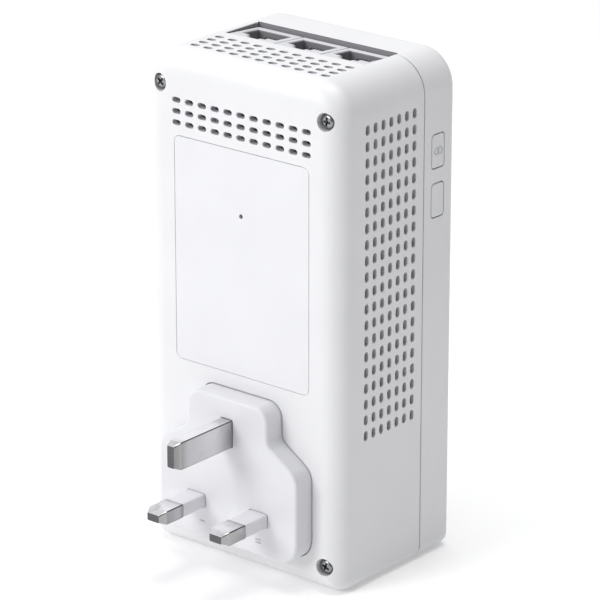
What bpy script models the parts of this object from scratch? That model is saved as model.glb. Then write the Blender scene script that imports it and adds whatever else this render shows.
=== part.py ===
"""Powerline adapter with three network jacks, two side buttons and a pass-through socket.

Frame: metres, +Z up. The origin is midway between the line and neutral pins, on the face of
the plug. The pins point along -Y, and the front face with the socket looks along +Y.
Shapes below are written in millimetres, and finish_object turns them into metres.
"""

import math

import bmesh
import bpy
from mathutils import Vector

MM = 0.001

# Housing
HALF_WIDTH = 34.0
TOP = 123.5
BOTTOM = -19.5
REAR_FACE = 6.4
SEAM = 41.6
SEAM_GAP = 0.3
FRONT_FACE = 55.4
WALL = 2.0
TOP_CORNER_RADIUS = 10.0
BOTTOM_CORNER_RADIUS = 4.0
REAR_EDGE_RADIUS = 6.5
FRONT_EDGE_RADIUS = 2.6
LIP_GAP = 0.35
LIP_THICKNESS = 1.05
LIP_LENGTH = 2.1
INNER_REAR = REAR_FACE + WALL
INNER_FRONT = FRONT_FACE - WALL
LIP_OUTSIDE = WALL + LIP_GAP
LIP_INSIDE = LIP_OUTSIDE + LIP_THICKNESS
GAP = 0.3

# Vents: rows of slots, long way across on the rear and top, upright on the sides
VENT_PITCH = 4.5
VENT_ROW_PITCH = 3.15
VENT_DEPTH_PITCH = 3.3
VENT_LENGTH = 2.9
VENT_WIDTH = 1.45
VENT_COLUMNS = 11
REAR_VENT_ROWS = 3
TOP_VENT_ROWS = 4
SIDE_VENT_ROWS = 20
SIDE_VENT_COLUMNS = 7
VENT_TOP_Z = 110.0
TOP_VENT_FAR_Y = 24.3
SIDE_VENT_NEAR_Y = 17.7

# Housing screws
SCREW_X = 28.7
SCREW_TOP_Z = 113.8
SCREW_BOTTOM_Z = -11.7
HEAD_RADIUS = 2.1
SHANK_RADIUS = 1.05
COUNTERBORE_RADIUS = 2.4
COUNTERBORE_FLOOR = 9.0
REAR_BOSS_RADIUS = 2.85
REAR_BOSS_START = 8.3
REAR_BOSS_END = 12.0
FRONT_BOSS_RADIUS = 2.5
FRONT_BOSS_BORE = 1.4

# Plug and pins to the 13 A standard
PIN_SPACING = 22.23
LIVE_PIN = (6.35, 3.975)
EARTH_PIN = (3.975, 7.925)
LIVE_PIN_LENGTH = 17.7
EARTH_PIN_LENGTH = 22.73
EARTH_Z = 22.23
PIN_INNER_END = 14.0
SLEEVE_LENGTH = 8.9
SLEEVE_WALL = 0.7
SLEEVE_INNER_END = 5.0
PLUG_CORNERS = (
    (-24.4, -11.0, 6.5), (24.4, -11.0, 6.5), (24.4, 14.9, 5.5), (14.0, 21.8, 3.5),
    (14.0, 32.0, 4.2), (-14.0, 32.0, 4.2), (-14.0, 21.8, 3.5), (-24.4, 14.9, 5.5),
)
PLUG_EDGE_RADIUS = 0.8
FLANGE_WIDTH = 1.2
FLANGE_THICKNESS = 2.2

# Label
LABEL_X = 23.6
LABEL_Z = (36.3, 100.4)
LABEL_RADIUS = 2.0
LABEL_DEPTH = 0.55
LABEL_HOLE_Z = 82.0
LABEL_HOLE_RADIUS = 0.65

# Network jacks
JACK_COUNT = 3
JACK_PITCH = 16.0
JACK_WIDTH = 15.7
JACK_Y = (28.9, 42.0)
JACK_HEIGHT = 21.0
JACK_NEAR_DROP = 0.3
JACK_FAR_DROP = 1.3
RECESS_X = 24.3
RECESS_NEAR_Y = 28.6
RECESS_FAR_Y = 42.6
CAVITY_DEPTH = 15.0
CAVITY_HALF_WIDTH = 5.9
CAVITY_FAR_Y = 39.9
CAVITY_NEAR_Y = 33.1
LATCH_HALF_WIDTH = 3.1
LATCH_NEAR_Y = 31.5
LATCH_INNER_HALF_WIDTH = 1.65
LATCH_INNER_NEAR_Y = 30.3
CONTACT_COUNT = 8
CONTACT_PITCH = 1.02

# Buttons in the front shell's +X side, and the switches behind them
BUTTON_Y = 47.7
BUTTON_HALF_Y = 2.6
BUTTON_HALF_Z = 4.65
BUTTON_RADIUS = 1.0
BUTTON_CENTRES_Z = {"pair": 97.2, "reset": 83.4}
BUTTON_FACE_X = 34.05
BUTTON_CLEARANCE = 0.3
SWITCH_X = (22.0, 26.2)

# Boards
LOGIC_BOARD_Y = (42.6, 44.2)
LOGIC_BOARD_X = 25.5
LOGIC_BOARD_Z = (44.0, 119.6)
POWER_BOARD_Y = (12.4, 14.0)
POWER_BOARD_X = 29.0
POWER_BOARD_Z = (38.0, 104.0)
POST_RADIUS = 2.4
POWER_POSTS = ((-24.0, 98.0), (24.0, 44.0))
LOGIC_POSTS = ((-22.0, 96.0), (22.0, 50.0))

# Status lights
LIGHT_X = (-9.0, 0.0, 9.0)
LIGHT_Z = 105.0
LIGHT_PIPE_RADIUS = 1.3

# Pass-through socket in the front
SOCKET_BLOCK_Y = (30.0, 49.0)
SOCKET_CORNERS = (
    (-21.0, -15.0, 3.0), (21.0, -15.0, 3.0), (21.0, 13.0, 4.0), (12.0, 20.0, 3.0),
    (12.0, 30.5, 3.0), (-12.0, 30.5, 3.0), (-12.0, 20.0, 3.0), (-21.0, 13.0, 4.0),
)
LIVE_APERTURE = (7.1, 4.7)
EARTH_APERTURE = (4.7, 8.7)
SHUTTER_Y = (49.35, 51.0)
SPRING_RADIUS = 1.45
SPRING_WIRE = 0.22
SPRING_TURNS = 5
SPRING_Z = (-13.2, -3.35)
SPRING_Y = 48.6


# Meshes ------------------------------------------------------------------------------------

def place(point, height, axis):
    """A point of a flat outline, lifted by height along the named axis."""
    a, b = point
    if axis == "X":
        return Vector((height, a, b))
    if axis == "Y":
        return Vector((a, height, b))
    return Vector((a, b, height))


def loft(bm, rings):
    """Close a body through rings of equal point count, capped at both ends."""
    loops = [[bm.verts.new(point) for point in ring] for ring in rings]
    count = len(loops[0])
    for lower, upper in zip(loops, loops[1:]):
        for i in range(count):
            j = (i + 1) % count
            bm.faces.new((lower[i], lower[j], upper[j], upper[i]))
    bm.faces.new(loops[0][::-1])
    bm.faces.new(loops[-1])


def prism(bm, outline, axis, low, high):
    loft(bm, [[place(p, height, axis) for p in outline] for height in (low, high)])


def box(bm, low, high):
    corners = [(low[0], low[1]), (high[0], low[1]), (high[0], high[1]), (low[0], high[1])]
    prism(bm, corners, "Z", low[2], high[2])


def circle(centre, radius, sides=16):
    turn = 2 * math.pi / sides
    return [(centre[0] + radius * math.cos(turn * i), centre[1] + radius * math.sin(turn * i))
            for i in range(sides)]


def cylinder(bm, centre, axis, radius, low, high, sides=16):
    prism(bm, circle(centre, radius, sides), axis, low, high)


def fillet(corners, steps=4):
    """The outline through (a, b, radius) corners, each rounded by an arc of its radius."""
    outline = []
    for i, (a, b, radius) in enumerate(corners):
        corner = Vector((a, b))
        before = (Vector(corners[i - 1][:2]) - corner).normalized()
        after = (Vector(corners[(i + 1) % len(corners)][:2]) - corner).normalized()
        half = before.angle(after) / 2
        centre = corner + (before + after).normalized() * (radius / math.sin(half))
        start = corner + before * (radius / math.tan(half)) - centre
        end = corner + after * (radius / math.tan(half)) - centre
        sweep = start.angle_signed(end)
        for step in range(steps + 1):
            angle = -sweep * step / steps
            x = start.x * math.cos(angle) - start.y * math.sin(angle)
            y = start.x * math.sin(angle) + start.y * math.cos(angle)
            outline.append((centre.x + x, centre.y + y))
    return outline


def rounded_box(half_a, half_b, radius, centre=(0.0, 0.0), steps=3):
    corners = [(-half_a, -half_b), (half_a, -half_b), (half_a, half_b), (-half_a, half_b)]
    return fillet([(centre[0] + a, centre[1] + b, radius) for a, b in corners], steps)


def grow(corners, amount):
    """Corners of a closed outline moved outwards by amount, radii following."""
    grown = []
    for i, (a, b, radius) in enumerate(corners):
        before = Vector((a, b)) - Vector(corners[i - 1][:2])
        after = Vector(corners[(i + 1) % len(corners)][:2]) - Vector((a, b))
        out_before = Vector((before.y, -before.x)).normalized()
        out_after = Vector((after.y, -after.x)).normalized()
        shift = (out_before + out_after) / (1 + out_before.dot(out_after)) * amount
        convex = before.cross(after) > 0
        grown.append((a + shift.x, b + shift.y, radius + (amount if convex else -amount)))
    return grown


# Objects -----------------------------------------------------------------------------------

def material(name, colour, roughness, metallic=0.0, transmission=0.0):
    made = bpy.data.materials.new(name)
    made.use_nodes = True
    shader = made.node_tree.nodes["Principled BSDF"]
    shader.inputs["Base Color"].default_value = (*colour, 1.0)
    shader.inputs["Roughness"].default_value = roughness
    shader.inputs["Metallic"].default_value = metallic
    shader.inputs["Transmission Weight"].default_value = transmission
    return made


def finish_object(name, bm, finish, origin=(0.0, 0.0, 0.0)):
    """Make the object called name from a mesh in millimetres, with its origin placed."""
    base = Vector(origin)
    bmesh.ops.recalc_face_normals(bm, faces=bm.faces)
    for vert in bm.verts:
        vert.co = (vert.co - base) * MM
    mesh = bpy.data.meshes.new(name)
    bm.to_mesh(mesh)
    bm.free()
    mesh.shade_smooth()
    mesh.set_sharp_from_angle(angle=math.radians(35))
    made = bpy.data.objects.new(name, mesh)
    made.location = base * MM
    bpy.context.scene.collection.objects.link(made)
    if finish:
        mesh.materials.append(finish)
    return made


def combine(target, operation, name, bm):
    """Join or cut target with a hidden guide body."""
    guide = finish_object(name, bm, None)
    guide.hide_render = True
    guide.display_type = "WIRE"
    modifier = target.modifiers.new(name, "BOOLEAN")
    modifier.operation = operation
    modifier.solver = "EXACT"
    modifier.object = guide


def simple(name, finish, *bodies, origin=(0.0, 0.0, 0.0)):
    """An object from one (function, arguments...) body description."""
    bm = bmesh.new()
    for make, *arguments in bodies:
        make(bm, *arguments)
    return finish_object(name, bm, finish, origin)


# Housing -----------------------------------------------------------------------------------

def housing_outline(inset):
    """The housing's outline in X and Z, moved inwards by inset."""
    top_radius = max(TOP_CORNER_RADIUS - inset, 0.6)
    bottom_radius = max(BOTTOM_CORNER_RADIUS - inset, 0.6)
    side = HALF_WIDTH - inset
    return fillet([
        (-side, BOTTOM + inset, bottom_radius), (side, BOTTOM + inset, bottom_radius),
        (side, TOP - inset, top_radius), (-side, TOP - inset, top_radius),
    ], 5)


def housing_ring(y, inset):
    return [place(point, y, "Y") for point in housing_outline(inset)]


def edge_rings(face, radius, inset, direction, steps=4):
    """Rings round an edge, from the flat face outwards to the wall's inset."""
    rings = []
    for step in range(steps + 1):
        angle = math.pi / 2 * step / steps
        y = face + direction * radius * (1 - math.cos(angle))
        rings.append(housing_ring(y, inset + radius * (1 - math.sin(angle))))
    return rings


def vent_cutters(bm):
    half_long = VENT_LENGTH / 2
    half_short = VENT_WIDTH / 2
    for column in range(VENT_COLUMNS):
        x = (column - (VENT_COLUMNS - 1) / 2) * VENT_PITCH
        for row in range(REAR_VENT_ROWS):
            z = VENT_TOP_Z - row * VENT_ROW_PITCH
            box(bm, (x - half_long, REAR_FACE - 1, z - half_short),
                (x + half_long, INNER_REAR + 1, z + half_short))
        for row in range(TOP_VENT_ROWS):
            y = TOP_VENT_FAR_Y - row * VENT_DEPTH_PITCH
            box(bm, (x - half_long, y - half_short, TOP - WALL - 1),
                (x + half_long, y + half_short, TOP + 1))
    for column in range(SIDE_VENT_COLUMNS):
        y = SIDE_VENT_NEAR_Y + column * VENT_DEPTH_PITCH
        for row in range(SIDE_VENT_ROWS):
            z = VENT_TOP_Z - row * VENT_PITCH
            for low, high in ((HALF_WIDTH - WALL - 1, HALF_WIDTH + 1),
                              (-HALF_WIDTH - 1, -HALF_WIDTH + WALL + 1)):
                box(bm, (low, y - half_short, z - half_long), (high, y + half_short, z + half_long))


def screw_places():
    return [(x, z) for z in (SCREW_TOP_Z, SCREW_BOTTOM_Z) for x in (-SCREW_X, SCREW_X)]


def make_rear_shell(finish):
    bm = bmesh.new()
    rings = edge_rings(REAR_FACE, REAR_EDGE_RADIUS, 0.0, 1)
    rings.append(housing_ring(SEAM, 0.0))
    rings.append(housing_ring(SEAM, WALL))
    rings += edge_rings(INNER_REAR, REAR_EDGE_RADIUS - WALL, WALL, 1)[::-1]
    loft(bm, rings)
    shell = finish_object("rear_shell", bm, finish)

    added = bmesh.new()
    for place_xz in screw_places():
        cylinder(added, place_xz, "Y", REAR_BOSS_RADIUS, REAR_BOSS_START, REAR_BOSS_END)
    for place_xz in POWER_POSTS:
        cylinder(added, place_xz, "Y", POST_RADIUS, REAR_FACE + 1, POWER_BOARD_Y[0] - GAP)
    combine(shell, "UNION", "rear_bosses", added)

    cut = bmesh.new()
    vent_cutters(cut)
    for place_xz in screw_places():
        shape = [(COUNTERBORE_RADIUS, REAR_FACE - 2), (COUNTERBORE_RADIUS, COUNTERBORE_FLOOR),
                 (SHANK_RADIUS + 0.55, COUNTERBORE_FLOOR), (SHANK_RADIUS + 0.55, REAR_BOSS_END + 1)]
        loft(cut, [[place(p, y, "Y") for p in circle(place_xz, r)] for r, y in shape])
    for place_xz in POWER_POSTS:
        cylinder(cut, place_xz, "Y", 1.0, 9.4, POWER_BOARD_Y[0] + 1)
    prism(cut, fillet(grow(PLUG_CORNERS, GAP)), "Y", REAR_FACE - 1, INNER_REAR + 1)
    box(cut, (-RECESS_X, RECESS_NEAR_Y, TOP - WALL - 2), (RECESS_X, SEAM + 1, TOP + 1))
    cylinder(cut, (0.0, LABEL_HOLE_Z), "Y", LABEL_HOLE_RADIUS, REAR_FACE + 0.2, INNER_REAR + 1, 12)
    combine(shell, "DIFFERENCE", "rear_openings", cut)

    recess = bmesh.new()
    middle = sum(LABEL_Z) / 2
    half = (LABEL_Z[1] - LABEL_Z[0]) / 2
    prism(recess, rounded_box(LABEL_X, half, LABEL_RADIUS, (0.0, middle)), "Y",
          REAR_FACE - 1, REAR_FACE + LABEL_DEPTH)
    combine(shell, "DIFFERENCE", "label_recess", recess)


def make_front_shell(finish):
    bm = bmesh.new()
    back = SEAM + SEAM_GAP
    rings = edge_rings(FRONT_FACE, FRONT_EDGE_RADIUS, 0.0, -1)
    rings.append(housing_ring(back, 0.0))
    rings.append(housing_ring(back, LIP_OUTSIDE))
    rings.append(housing_ring(back - LIP_LENGTH, LIP_OUTSIDE))
    rings.append(housing_ring(back - LIP_LENGTH, LIP_INSIDE))
    rings.append(housing_ring(INNER_FRONT, LIP_INSIDE))
    loft(bm, rings)
    shell = finish_object("front_shell", bm, finish)

    added = bmesh.new()
    for place_xz in screw_places():
        cylinder(added, place_xz, "Y", FRONT_BOSS_RADIUS, REAR_BOSS_END + GAP, INNER_FRONT + 1)
    for place_xz in LOGIC_POSTS:
        cylinder(added, place_xz, "Y", POST_RADIUS, LOGIC_BOARD_Y[1] + GAP, INNER_FRONT + 1)
    combine(shell, "UNION", "front_bosses", added)

    cut = bmesh.new()
    for place_xz in screw_places():
        cylinder(cut, place_xz, "Y", FRONT_BOSS_BORE, REAR_BOSS_END - 1, 22.0)
    for place_xz in LOGIC_POSTS:
        cylinder(cut, place_xz, "Y", 1.0, LOGIC_BOARD_Y[1] - 1, LOGIC_BOARD_Y[1] + 4.5)
    for centre_z in BUTTON_CENTRES_Z.values():
        outline = rounded_box(BUTTON_HALF_Y + BUTTON_CLEARANCE, BUTTON_HALF_Z + BUTTON_CLEARANCE,
                              BUTTON_RADIUS + BUTTON_CLEARANCE, (BUTTON_Y, centre_z))
        prism(cut, outline, "X", HALF_WIDTH - LIP_INSIDE - 1, HALF_WIDTH + 1)
    box(cut, (-RECESS_X - GAP, back - LIP_LENGTH - 1, TOP - 8), (RECESS_X + GAP, RECESS_FAR_Y, TOP + 1))
    for x, half in ((-PIN_SPACING / 2, LIVE_APERTURE), (PIN_SPACING / 2, LIVE_APERTURE)):
        prism(cut, rounded_box(half[0] / 2, half[1] / 2, 0.5, (x, 0.0), 2), "Y",
              INNER_FRONT - 1, FRONT_FACE + 1)
    prism(cut, rounded_box(EARTH_APERTURE[0] / 2, EARTH_APERTURE[1] / 2, 0.5, (0.0, EARTH_Z), 2),
          "Y", INNER_FRONT - 1, FRONT_FACE + 1)
    for x in LIGHT_X:
        cylinder(cut, (x, LIGHT_Z), "Y", LIGHT_PIPE_RADIUS + GAP, INNER_FRONT - 1, FRONT_FACE + 1)
    combine(shell, "DIFFERENCE", "front_openings", cut)


def make_label(finish):
    middle = sum(LABEL_Z) / 2
    half = (LABEL_Z[1] - LABEL_Z[0]) / 2 - GAP
    outline = rounded_box(LABEL_X - GAP, half, LABEL_RADIUS - GAP, (0.0, middle))
    label = simple("rating_label", finish,
                   (prism, outline, "Y", REAR_FACE + 0.05, REAR_FACE + LABEL_DEPTH - GAP))
    hole = bmesh.new()
    cylinder(hole, (0.0, LABEL_HOLE_Z), "Y", LABEL_HOLE_RADIUS + 0.1, REAR_FACE - 1, REAR_FACE + 1, 12)
    combine(label, "DIFFERENCE", "label_hole", hole)


def screw_mesh(place_xz, head, head_start, head_end, shank, tip):
    """A screw along Y with its head between head_start and head_end, and a cross recess."""
    bm = bmesh.new()
    chamfer = 0.25 * math.copysign(1, tip - head_start)
    shape = [(head - 0.3, head_start), (head, head_start + chamfer), (head, head_end),
             (shank, head_end), (shank, tip - chamfer * 3), (shank * 0.4, tip)]
    loft(bm, [[place(p, y, "Y") for p in circle(place_xz, r, 12)] for r, y in shape])
    return bm


def make_screw(name, finish, place_xz, head, head_start, head_end, shank, tip):
    screw = finish_object(name, screw_mesh(place_xz, head, head_start, head_end, shank, tip), finish)
    x, z = place_xz
    depth = (head_end - head_start) * 0.6
    low = min(head_start - depth, head_start + depth)
    high = max(head_start - depth, head_start + depth)
    cross = bmesh.new()
    arm = head * 0.62
    slot = head * 0.16
    outline = [(x + a, z + b) for a, b in (
        (-arm, -slot), (-slot, -slot), (-slot, -arm), (slot, -arm), (slot, -slot), (arm, -slot),
        (arm, slot), (slot, slot), (slot, arm), (-slot, arm), (-slot, slot), (-arm, slot))]
    prism(cross, outline, "Y", low, high)
    combine(screw, "DIFFERENCE", name + "_cross", cross)


# Plug --------------------------------------------------------------------------------------

def make_plug(plastic, metal, sleeve_plastic):
    bm = bmesh.new()
    rings = []
    for amount, y in ((-PLUG_EDGE_RADIUS, 0.0), (-0.25, 0.25), (0.0, PLUG_EDGE_RADIUS),
                      (0.0, INNER_REAR + GAP), (FLANGE_WIDTH, INNER_REAR + GAP),
                      (FLANGE_WIDTH, INNER_REAR + GAP + FLANGE_THICKNESS)):
        rings.append([place(p, y, "Y") for p in fillet(grow(PLUG_CORNERS, amount))])
    loft(bm, rings)
    base = finish_object("plug_base", bm, plastic)
    cut = bmesh.new()
    for x, z, size in ((-PIN_SPACING / 2, 0.0, LIVE_PIN), (PIN_SPACING / 2, 0.0, LIVE_PIN),
                       (0.0, EARTH_Z, EARTH_PIN)):
        box(cut, (x - size[0] / 2 - GAP, -1, z - size[1] / 2 - GAP),
            (x + size[0] / 2 + GAP, PIN_INNER_END, z + size[1] / 2 + GAP))
    combine(base, "DIFFERENCE", "pin_holes", cut)

    make_pin("earth_pin", metal, (0.0, EARTH_Z), EARTH_PIN, EARTH_PIN_LENGTH, 0.0)
    for name, x in (("line_pin", -PIN_SPACING / 2), ("neutral_pin", PIN_SPACING / 2)):
        make_pin(name, metal, (x, 0.0), LIVE_PIN, LIVE_PIN_LENGTH, SLEEVE_WALL + GAP)
        outer = [(x + a, b) for a, b in rounded_box(LIVE_PIN[0] / 2, LIVE_PIN[1] / 2, 0.4, steps=2)]
        sleeve = simple(name + "_sleeve", sleeve_plastic,
                        (prism, outer, "Y", -SLEEVE_LENGTH, SLEEVE_INNER_END))
        bore = bmesh.new()
        half_x = LIVE_PIN[0] / 2 - SLEEVE_WALL
        half_z = LIVE_PIN[1] / 2 - SLEEVE_WALL
        box(bore, (x - half_x, -SLEEVE_LENGTH - 1, -half_z), (x + half_x, SLEEVE_INNER_END + 1, half_z))
        combine(sleeve, "DIFFERENCE", name + "_sleeve_bore", bore)


def make_pin(name, metal, centre, size, length, neck):
    """A flat pin with a bevelled tip, necked by the sleeve's wall where a sleeve surrounds it."""
    sections = [(1.1, -length), (0.0, -length + 2.4)]
    if neck:
        sections += [(0.0, -SLEEVE_LENGTH - GAP), (neck, -SLEEVE_LENGTH - GAP)]
    sections.append((neck, PIN_INNER_END))
    rings = []
    for shrink, y in sections:
        outline = rounded_box(size[0] / 2 - shrink, size[1] / 2 - shrink, 0.3, centre, 2)
        rings.append([place(p, y, "Y") for p in outline])
    bm = bmesh.new()
    loft(bm, rings)
    finish_object(name, bm, metal)


# Network jacks -----------------------------------------------------------------------------

def make_jacks(plastic, gold):
    for index in range(JACK_COUNT):
        x = (index - (JACK_COUNT - 1) / 2) * JACK_PITCH
        near, far = JACK_Y
        low = TOP - JACK_FAR_DROP - JACK_HEIGHT
        side = [(near, low), (far, low), (far, TOP - JACK_FAR_DROP), (near, TOP - JACK_NEAR_DROP)]
        jack = simple(f"ethernet_jack_{index + 1}", plastic,
                      (prism, side, "X", x - JACK_WIDTH / 2, x + JACK_WIDTH / 2))
        cavity = bmesh.new()
        half = CAVITY_HALF_WIDTH
        outline = [(x + a, y) for a, y in (
            (-half, CAVITY_FAR_Y), (-half, CAVITY_NEAR_Y), (-LATCH_HALF_WIDTH, CAVITY_NEAR_Y),
            (-LATCH_HALF_WIDTH, LATCH_NEAR_Y), (-LATCH_INNER_HALF_WIDTH, LATCH_NEAR_Y),
            (-LATCH_INNER_HALF_WIDTH, LATCH_INNER_NEAR_Y), (LATCH_INNER_HALF_WIDTH, LATCH_INNER_NEAR_Y),
            (LATCH_INNER_HALF_WIDTH, LATCH_NEAR_Y), (LATCH_HALF_WIDTH, LATCH_NEAR_Y),
            (LATCH_HALF_WIDTH, CAVITY_NEAR_Y), (half, CAVITY_NEAR_Y), (half, CAVITY_FAR_Y))]
        prism(cavity, outline, "Z", TOP - CAVITY_DEPTH, TOP + 1)
        combine(jack, "DIFFERENCE", f"jack_cavity_{index + 1}", cavity)
        make_contacts(f"ethernet_contacts_{index + 1}", gold, x)


def make_contacts(name, gold, x):
    """Eight sprung fingers on one carrier strip, along the cavity's far wall."""
    outline = []
    span = (CONTACT_COUNT - 1) / 2 * CONTACT_PITCH
    low = TOP - CAVITY_DEPTH + GAP
    root = low + 2.0
    tip = low + 9.5
    half = 0.22
    outline += [(x - span - half, low), (x + span + half, low)]
    for finger in range(CONTACT_COUNT):
        centre = x + span - finger * CONTACT_PITCH
        outline += [(centre + half, tip), (centre - half, tip)]
        if finger < CONTACT_COUNT - 1:
            outline += [(centre - half, root), (centre - CONTACT_PITCH + half, root)]
    bm = bmesh.new()
    prism(bm, outline, "Y", CAVITY_FAR_Y - GAP - 0.4, CAVITY_FAR_Y - GAP)
    finish_object(name, bm, gold)


# Buttons and switches ----------------------------------------------------------------------

def make_button(name, centre_z, cap_plastic, switch_plastic, switch_cap):
    origin = (HALF_WIDTH, BUTTON_Y, centre_z)
    sections = (
        (1.2, 1.2, 0.5, 27.6), (1.2, 1.2, 0.5, 28.9),
        (BUTTON_HALF_Y + 0.7, BUTTON_HALF_Z + 0.65, 1.2, 28.9),
        (BUTTON_HALF_Y + 0.7, BUTTON_HALF_Z + 0.65, 1.2, 30.25),
        (BUTTON_HALF_Y, BUTTON_HALF_Z, BUTTON_RADIUS, 30.25),
        (BUTTON_HALF_Y, BUTTON_HALF_Z, BUTTON_RADIUS, BUTTON_FACE_X - 0.25),
        (BUTTON_HALF_Y - 0.25, BUTTON_HALF_Z - 0.25, BUTTON_RADIUS - 0.25, BUTTON_FACE_X),
    )
    bm = bmesh.new()
    loft(bm, [[place(p, x, "X") for p in rounded_box(a, b, r, (BUTTON_Y, centre_z))]
              for a, b, r, x in sections])
    finish_object(name + "_button", bm, cap_plastic, origin)

    body = simple(name + "_switch_body", switch_plastic,
                  (box, (SWITCH_X[0], LOGIC_BOARD_Y[1] + GAP, centre_z - 3.0),
                   (SWITCH_X[1], BUTTON_Y + 3.0, centre_z + 3.0)))
    bore = bmesh.new()
    cylinder(bore, (BUTTON_Y, centre_z), "X", 1.35, 24.0, SWITCH_X[1] + 1)
    combine(body, "DIFFERENCE", name + "_switch_bore", bore)
    simple(name + "_switch_plunger", switch_cap,
           (cylinder, (BUTTON_Y, centre_z), "X", 1.0, 24.8, 27.3),
           origin=(27.3, BUTTON_Y, centre_z))


# Boards and what is on them ----------------------------------------------------------------

def make_board(name, finish, half_x, y_range, z_range, holes):
    middle = sum(z_range) / 2
    outline = rounded_box(half_x, (z_range[1] - z_range[0]) / 2, 1.5, (0.0, middle), 2)
    board = simple(name, finish, (prism, outline, "Y", *y_range))
    cut = bmesh.new()
    for place_xz in holes:
        cylinder(cut, place_xz, "Y", 1.3, y_range[0] - 1, y_range[1] + 1)
    combine(board, "DIFFERENCE", name + "_holes", cut)


def make_power_supply(finishes):
    face = POWER_BOARD_Y[1] + GAP
    core = simple("transformer_core", finishes["ferrite"],
                  (box, (-9.0, face, 66.0), (9.0, face + 13.0, 84.0)))
    window = bmesh.new()
    box(window, (-6.4, face - 1, 69.0), (6.4, face + 14.0, 81.0))
    combine(core, "DIFFERENCE", "core_window", window)
    simple("transformer_winding", finishes["tape"],
           (prism, rounded_box(6.0, 5.6, 2.0, (0.0, 75.0)), "Y", face, face + 12.2))
    simple("bulk_capacitor", finishes["capacitor"],
           (cylinder, (-19.5, 76.0), "Y", 6.0, face, face + 11.0, 20))
    simple("output_capacitor", finishes["capacitor"],
           (cylinder, (18.0, 90.0), "Y", 4.0, face, face + 11.0))
    simple("filter_capacitor", finishes["filter_box"],
           (box, (10.5, face, 54.0), (23.5, face + 11.0, 60.5)))
    simple("fuse", finishes["ceramic"], (cylinder, (-18.0, 43.0), "Y", 3.0, face, face + 8.0))
    simple("varistor", finishes["varistor"], (cylinder, (5.5, face + 5.5), "Z", 4.8, 42.0, 45.5))
    make_choke(finishes["copper"], (-12.0, face + 3.5, 56.0))


def make_choke(finish, centre, radius=5.0, thickness=2.8, around=20, section=8):
    """A wound ring lying on the board."""
    bm = bmesh.new()
    grid = []
    for i in range(around):
        turn = 2 * math.pi * i / around
        loop = []
        for j in range(section):
            tube = 2 * math.pi * j / section
            reach = radius + thickness * math.cos(tube)
            loop.append(bm.verts.new((centre[0] + reach * math.cos(turn),
                                      centre[1] + thickness * math.sin(tube),
                                      centre[2] + reach * math.sin(turn))))
        grid.append(loop)
    for i in range(around):
        for j in range(section):
            a, b = (i + 1) % around, (j + 1) % section
            bm.faces.new((grid[i][j], grid[a][j], grid[a][b], grid[i][b]))
    finish_object("common_mode_choke", bm, finish)


def make_logic_parts(finishes):
    front = LOGIC_BOARD_Y[1] + GAP
    rear = LOGIC_BOARD_Y[0] - GAP
    chip = finishes["chip"]
    simple("powerline_chip", chip, (box, (-6.5, front, 70.0), (6.5, front + 1.2, 83.0)))
    base = front + 1.2 + GAP
    simple("heat_sink", finishes["aluminium"], (prism, fin_outline(base), "Z", 67.5, 85.5))
    simple("ethernet_switch_chip", chip, (box, (-5.0, rear - 1.1, 84.0), (5.0, rear, 94.0)))
    simple("memory_chip", chip, (box, (9.0, front, 56.0), (15.0, front + 1.0, 64.0)))
    simple("coupling_transformer", finishes["ferrite"],
           (box, (-7.0, rear - 6.5, 62.0), (7.0, rear, 72.0)))
    simple("board_header", finishes["switch"],
           (box, (-6.0, POWER_BOARD_Y[1] + GAP, 47.0), (4.0, rear, 49.5)))
    for index, x in enumerate(LIGHT_X, 1):
        simple(f"status_led_{index}", finishes["led"],
               (box, (x - 0.8, front, LIGHT_Z - 0.8), (x + 0.8, front + 0.9, LIGHT_Z + 0.8)))
        simple(f"light_pipe_{index}", finishes["clear"],
               (cylinder, (x, LIGHT_Z), "Y", LIGHT_PIPE_RADIUS, front + 0.9 + GAP, FRONT_FACE - 0.05))


def fin_outline(base, half_width=9.0, fins=6, thickness=1.1, height=4.8):
    """Heat sink section in X and Y: a plate with upright fins."""
    pitch = (2 * half_width - thickness) / (fins - 1)
    outline = [(-half_width, base), (half_width, base)]
    for fin in range(fins):
        right = half_width - fin * pitch
        outline += [(right, base + height), (right - thickness, base + height)]
        if fin < fins - 1:
            outline += [(right - thickness, base + 1.3), (right - pitch, base + 1.3)]
    return outline


# Pass-through socket -----------------------------------------------------------------------

def make_socket(plastic, metal, shutter_plastic):
    block = simple("socket_block", plastic, (prism, fillet(SOCKET_CORNERS, 2), "Y", *SOCKET_BLOCK_Y))
    cut = bmesh.new()
    low, high = SOCKET_BLOCK_Y
    for x, z, half_x, half_z in ((-PIN_SPACING / 2, 0.0, 3.7, 3.7), (PIN_SPACING / 2, 0.0, 3.7, 3.7),
                                 (0.0, EARTH_Z, 3.7, 4.7)):
        box(cut, (x - half_x, low - 1, z - half_z), (x + half_x, high + 1, z + half_z))
    box(cut, (-2.3, SPRING_Y - 2.2, SPRING_Z[0] - GAP), (2.3, high + 1, -2.0))
    combine(block, "DIFFERENCE", "socket_cavities", cut)

    for name, x in (("line", -PIN_SPACING / 2), ("neutral", PIN_SPACING / 2)):
        simple(f"socket_contact_{name}", metal, (prism, clip_outline(0.0), "X", x - 2.6, x + 2.6))
    earth = [(side, y) for y, side in clip_outline(0.0)]
    simple("socket_contact_earth", metal, (prism, earth, "Z", EARTH_Z - 3.4, EARTH_Z + 3.4))

    bar = 3.0
    half = PIN_SPACING / 2 + 4.4
    stem = 2.3
    stem_top = 19.3
    outline = [(-half, -bar), (half, -bar), (half, bar), (stem, bar), (stem, stem_top),
               (-stem, stem_top), (-stem, bar), (-half, bar)]
    simple("socket_shutter", shutter_plastic, (prism, outline, "Y", *SHUTTER_Y),
           origin=(0.0, sum(SHUTTER_Y) / 2, 0.0))
    make_spring(metal)


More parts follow.
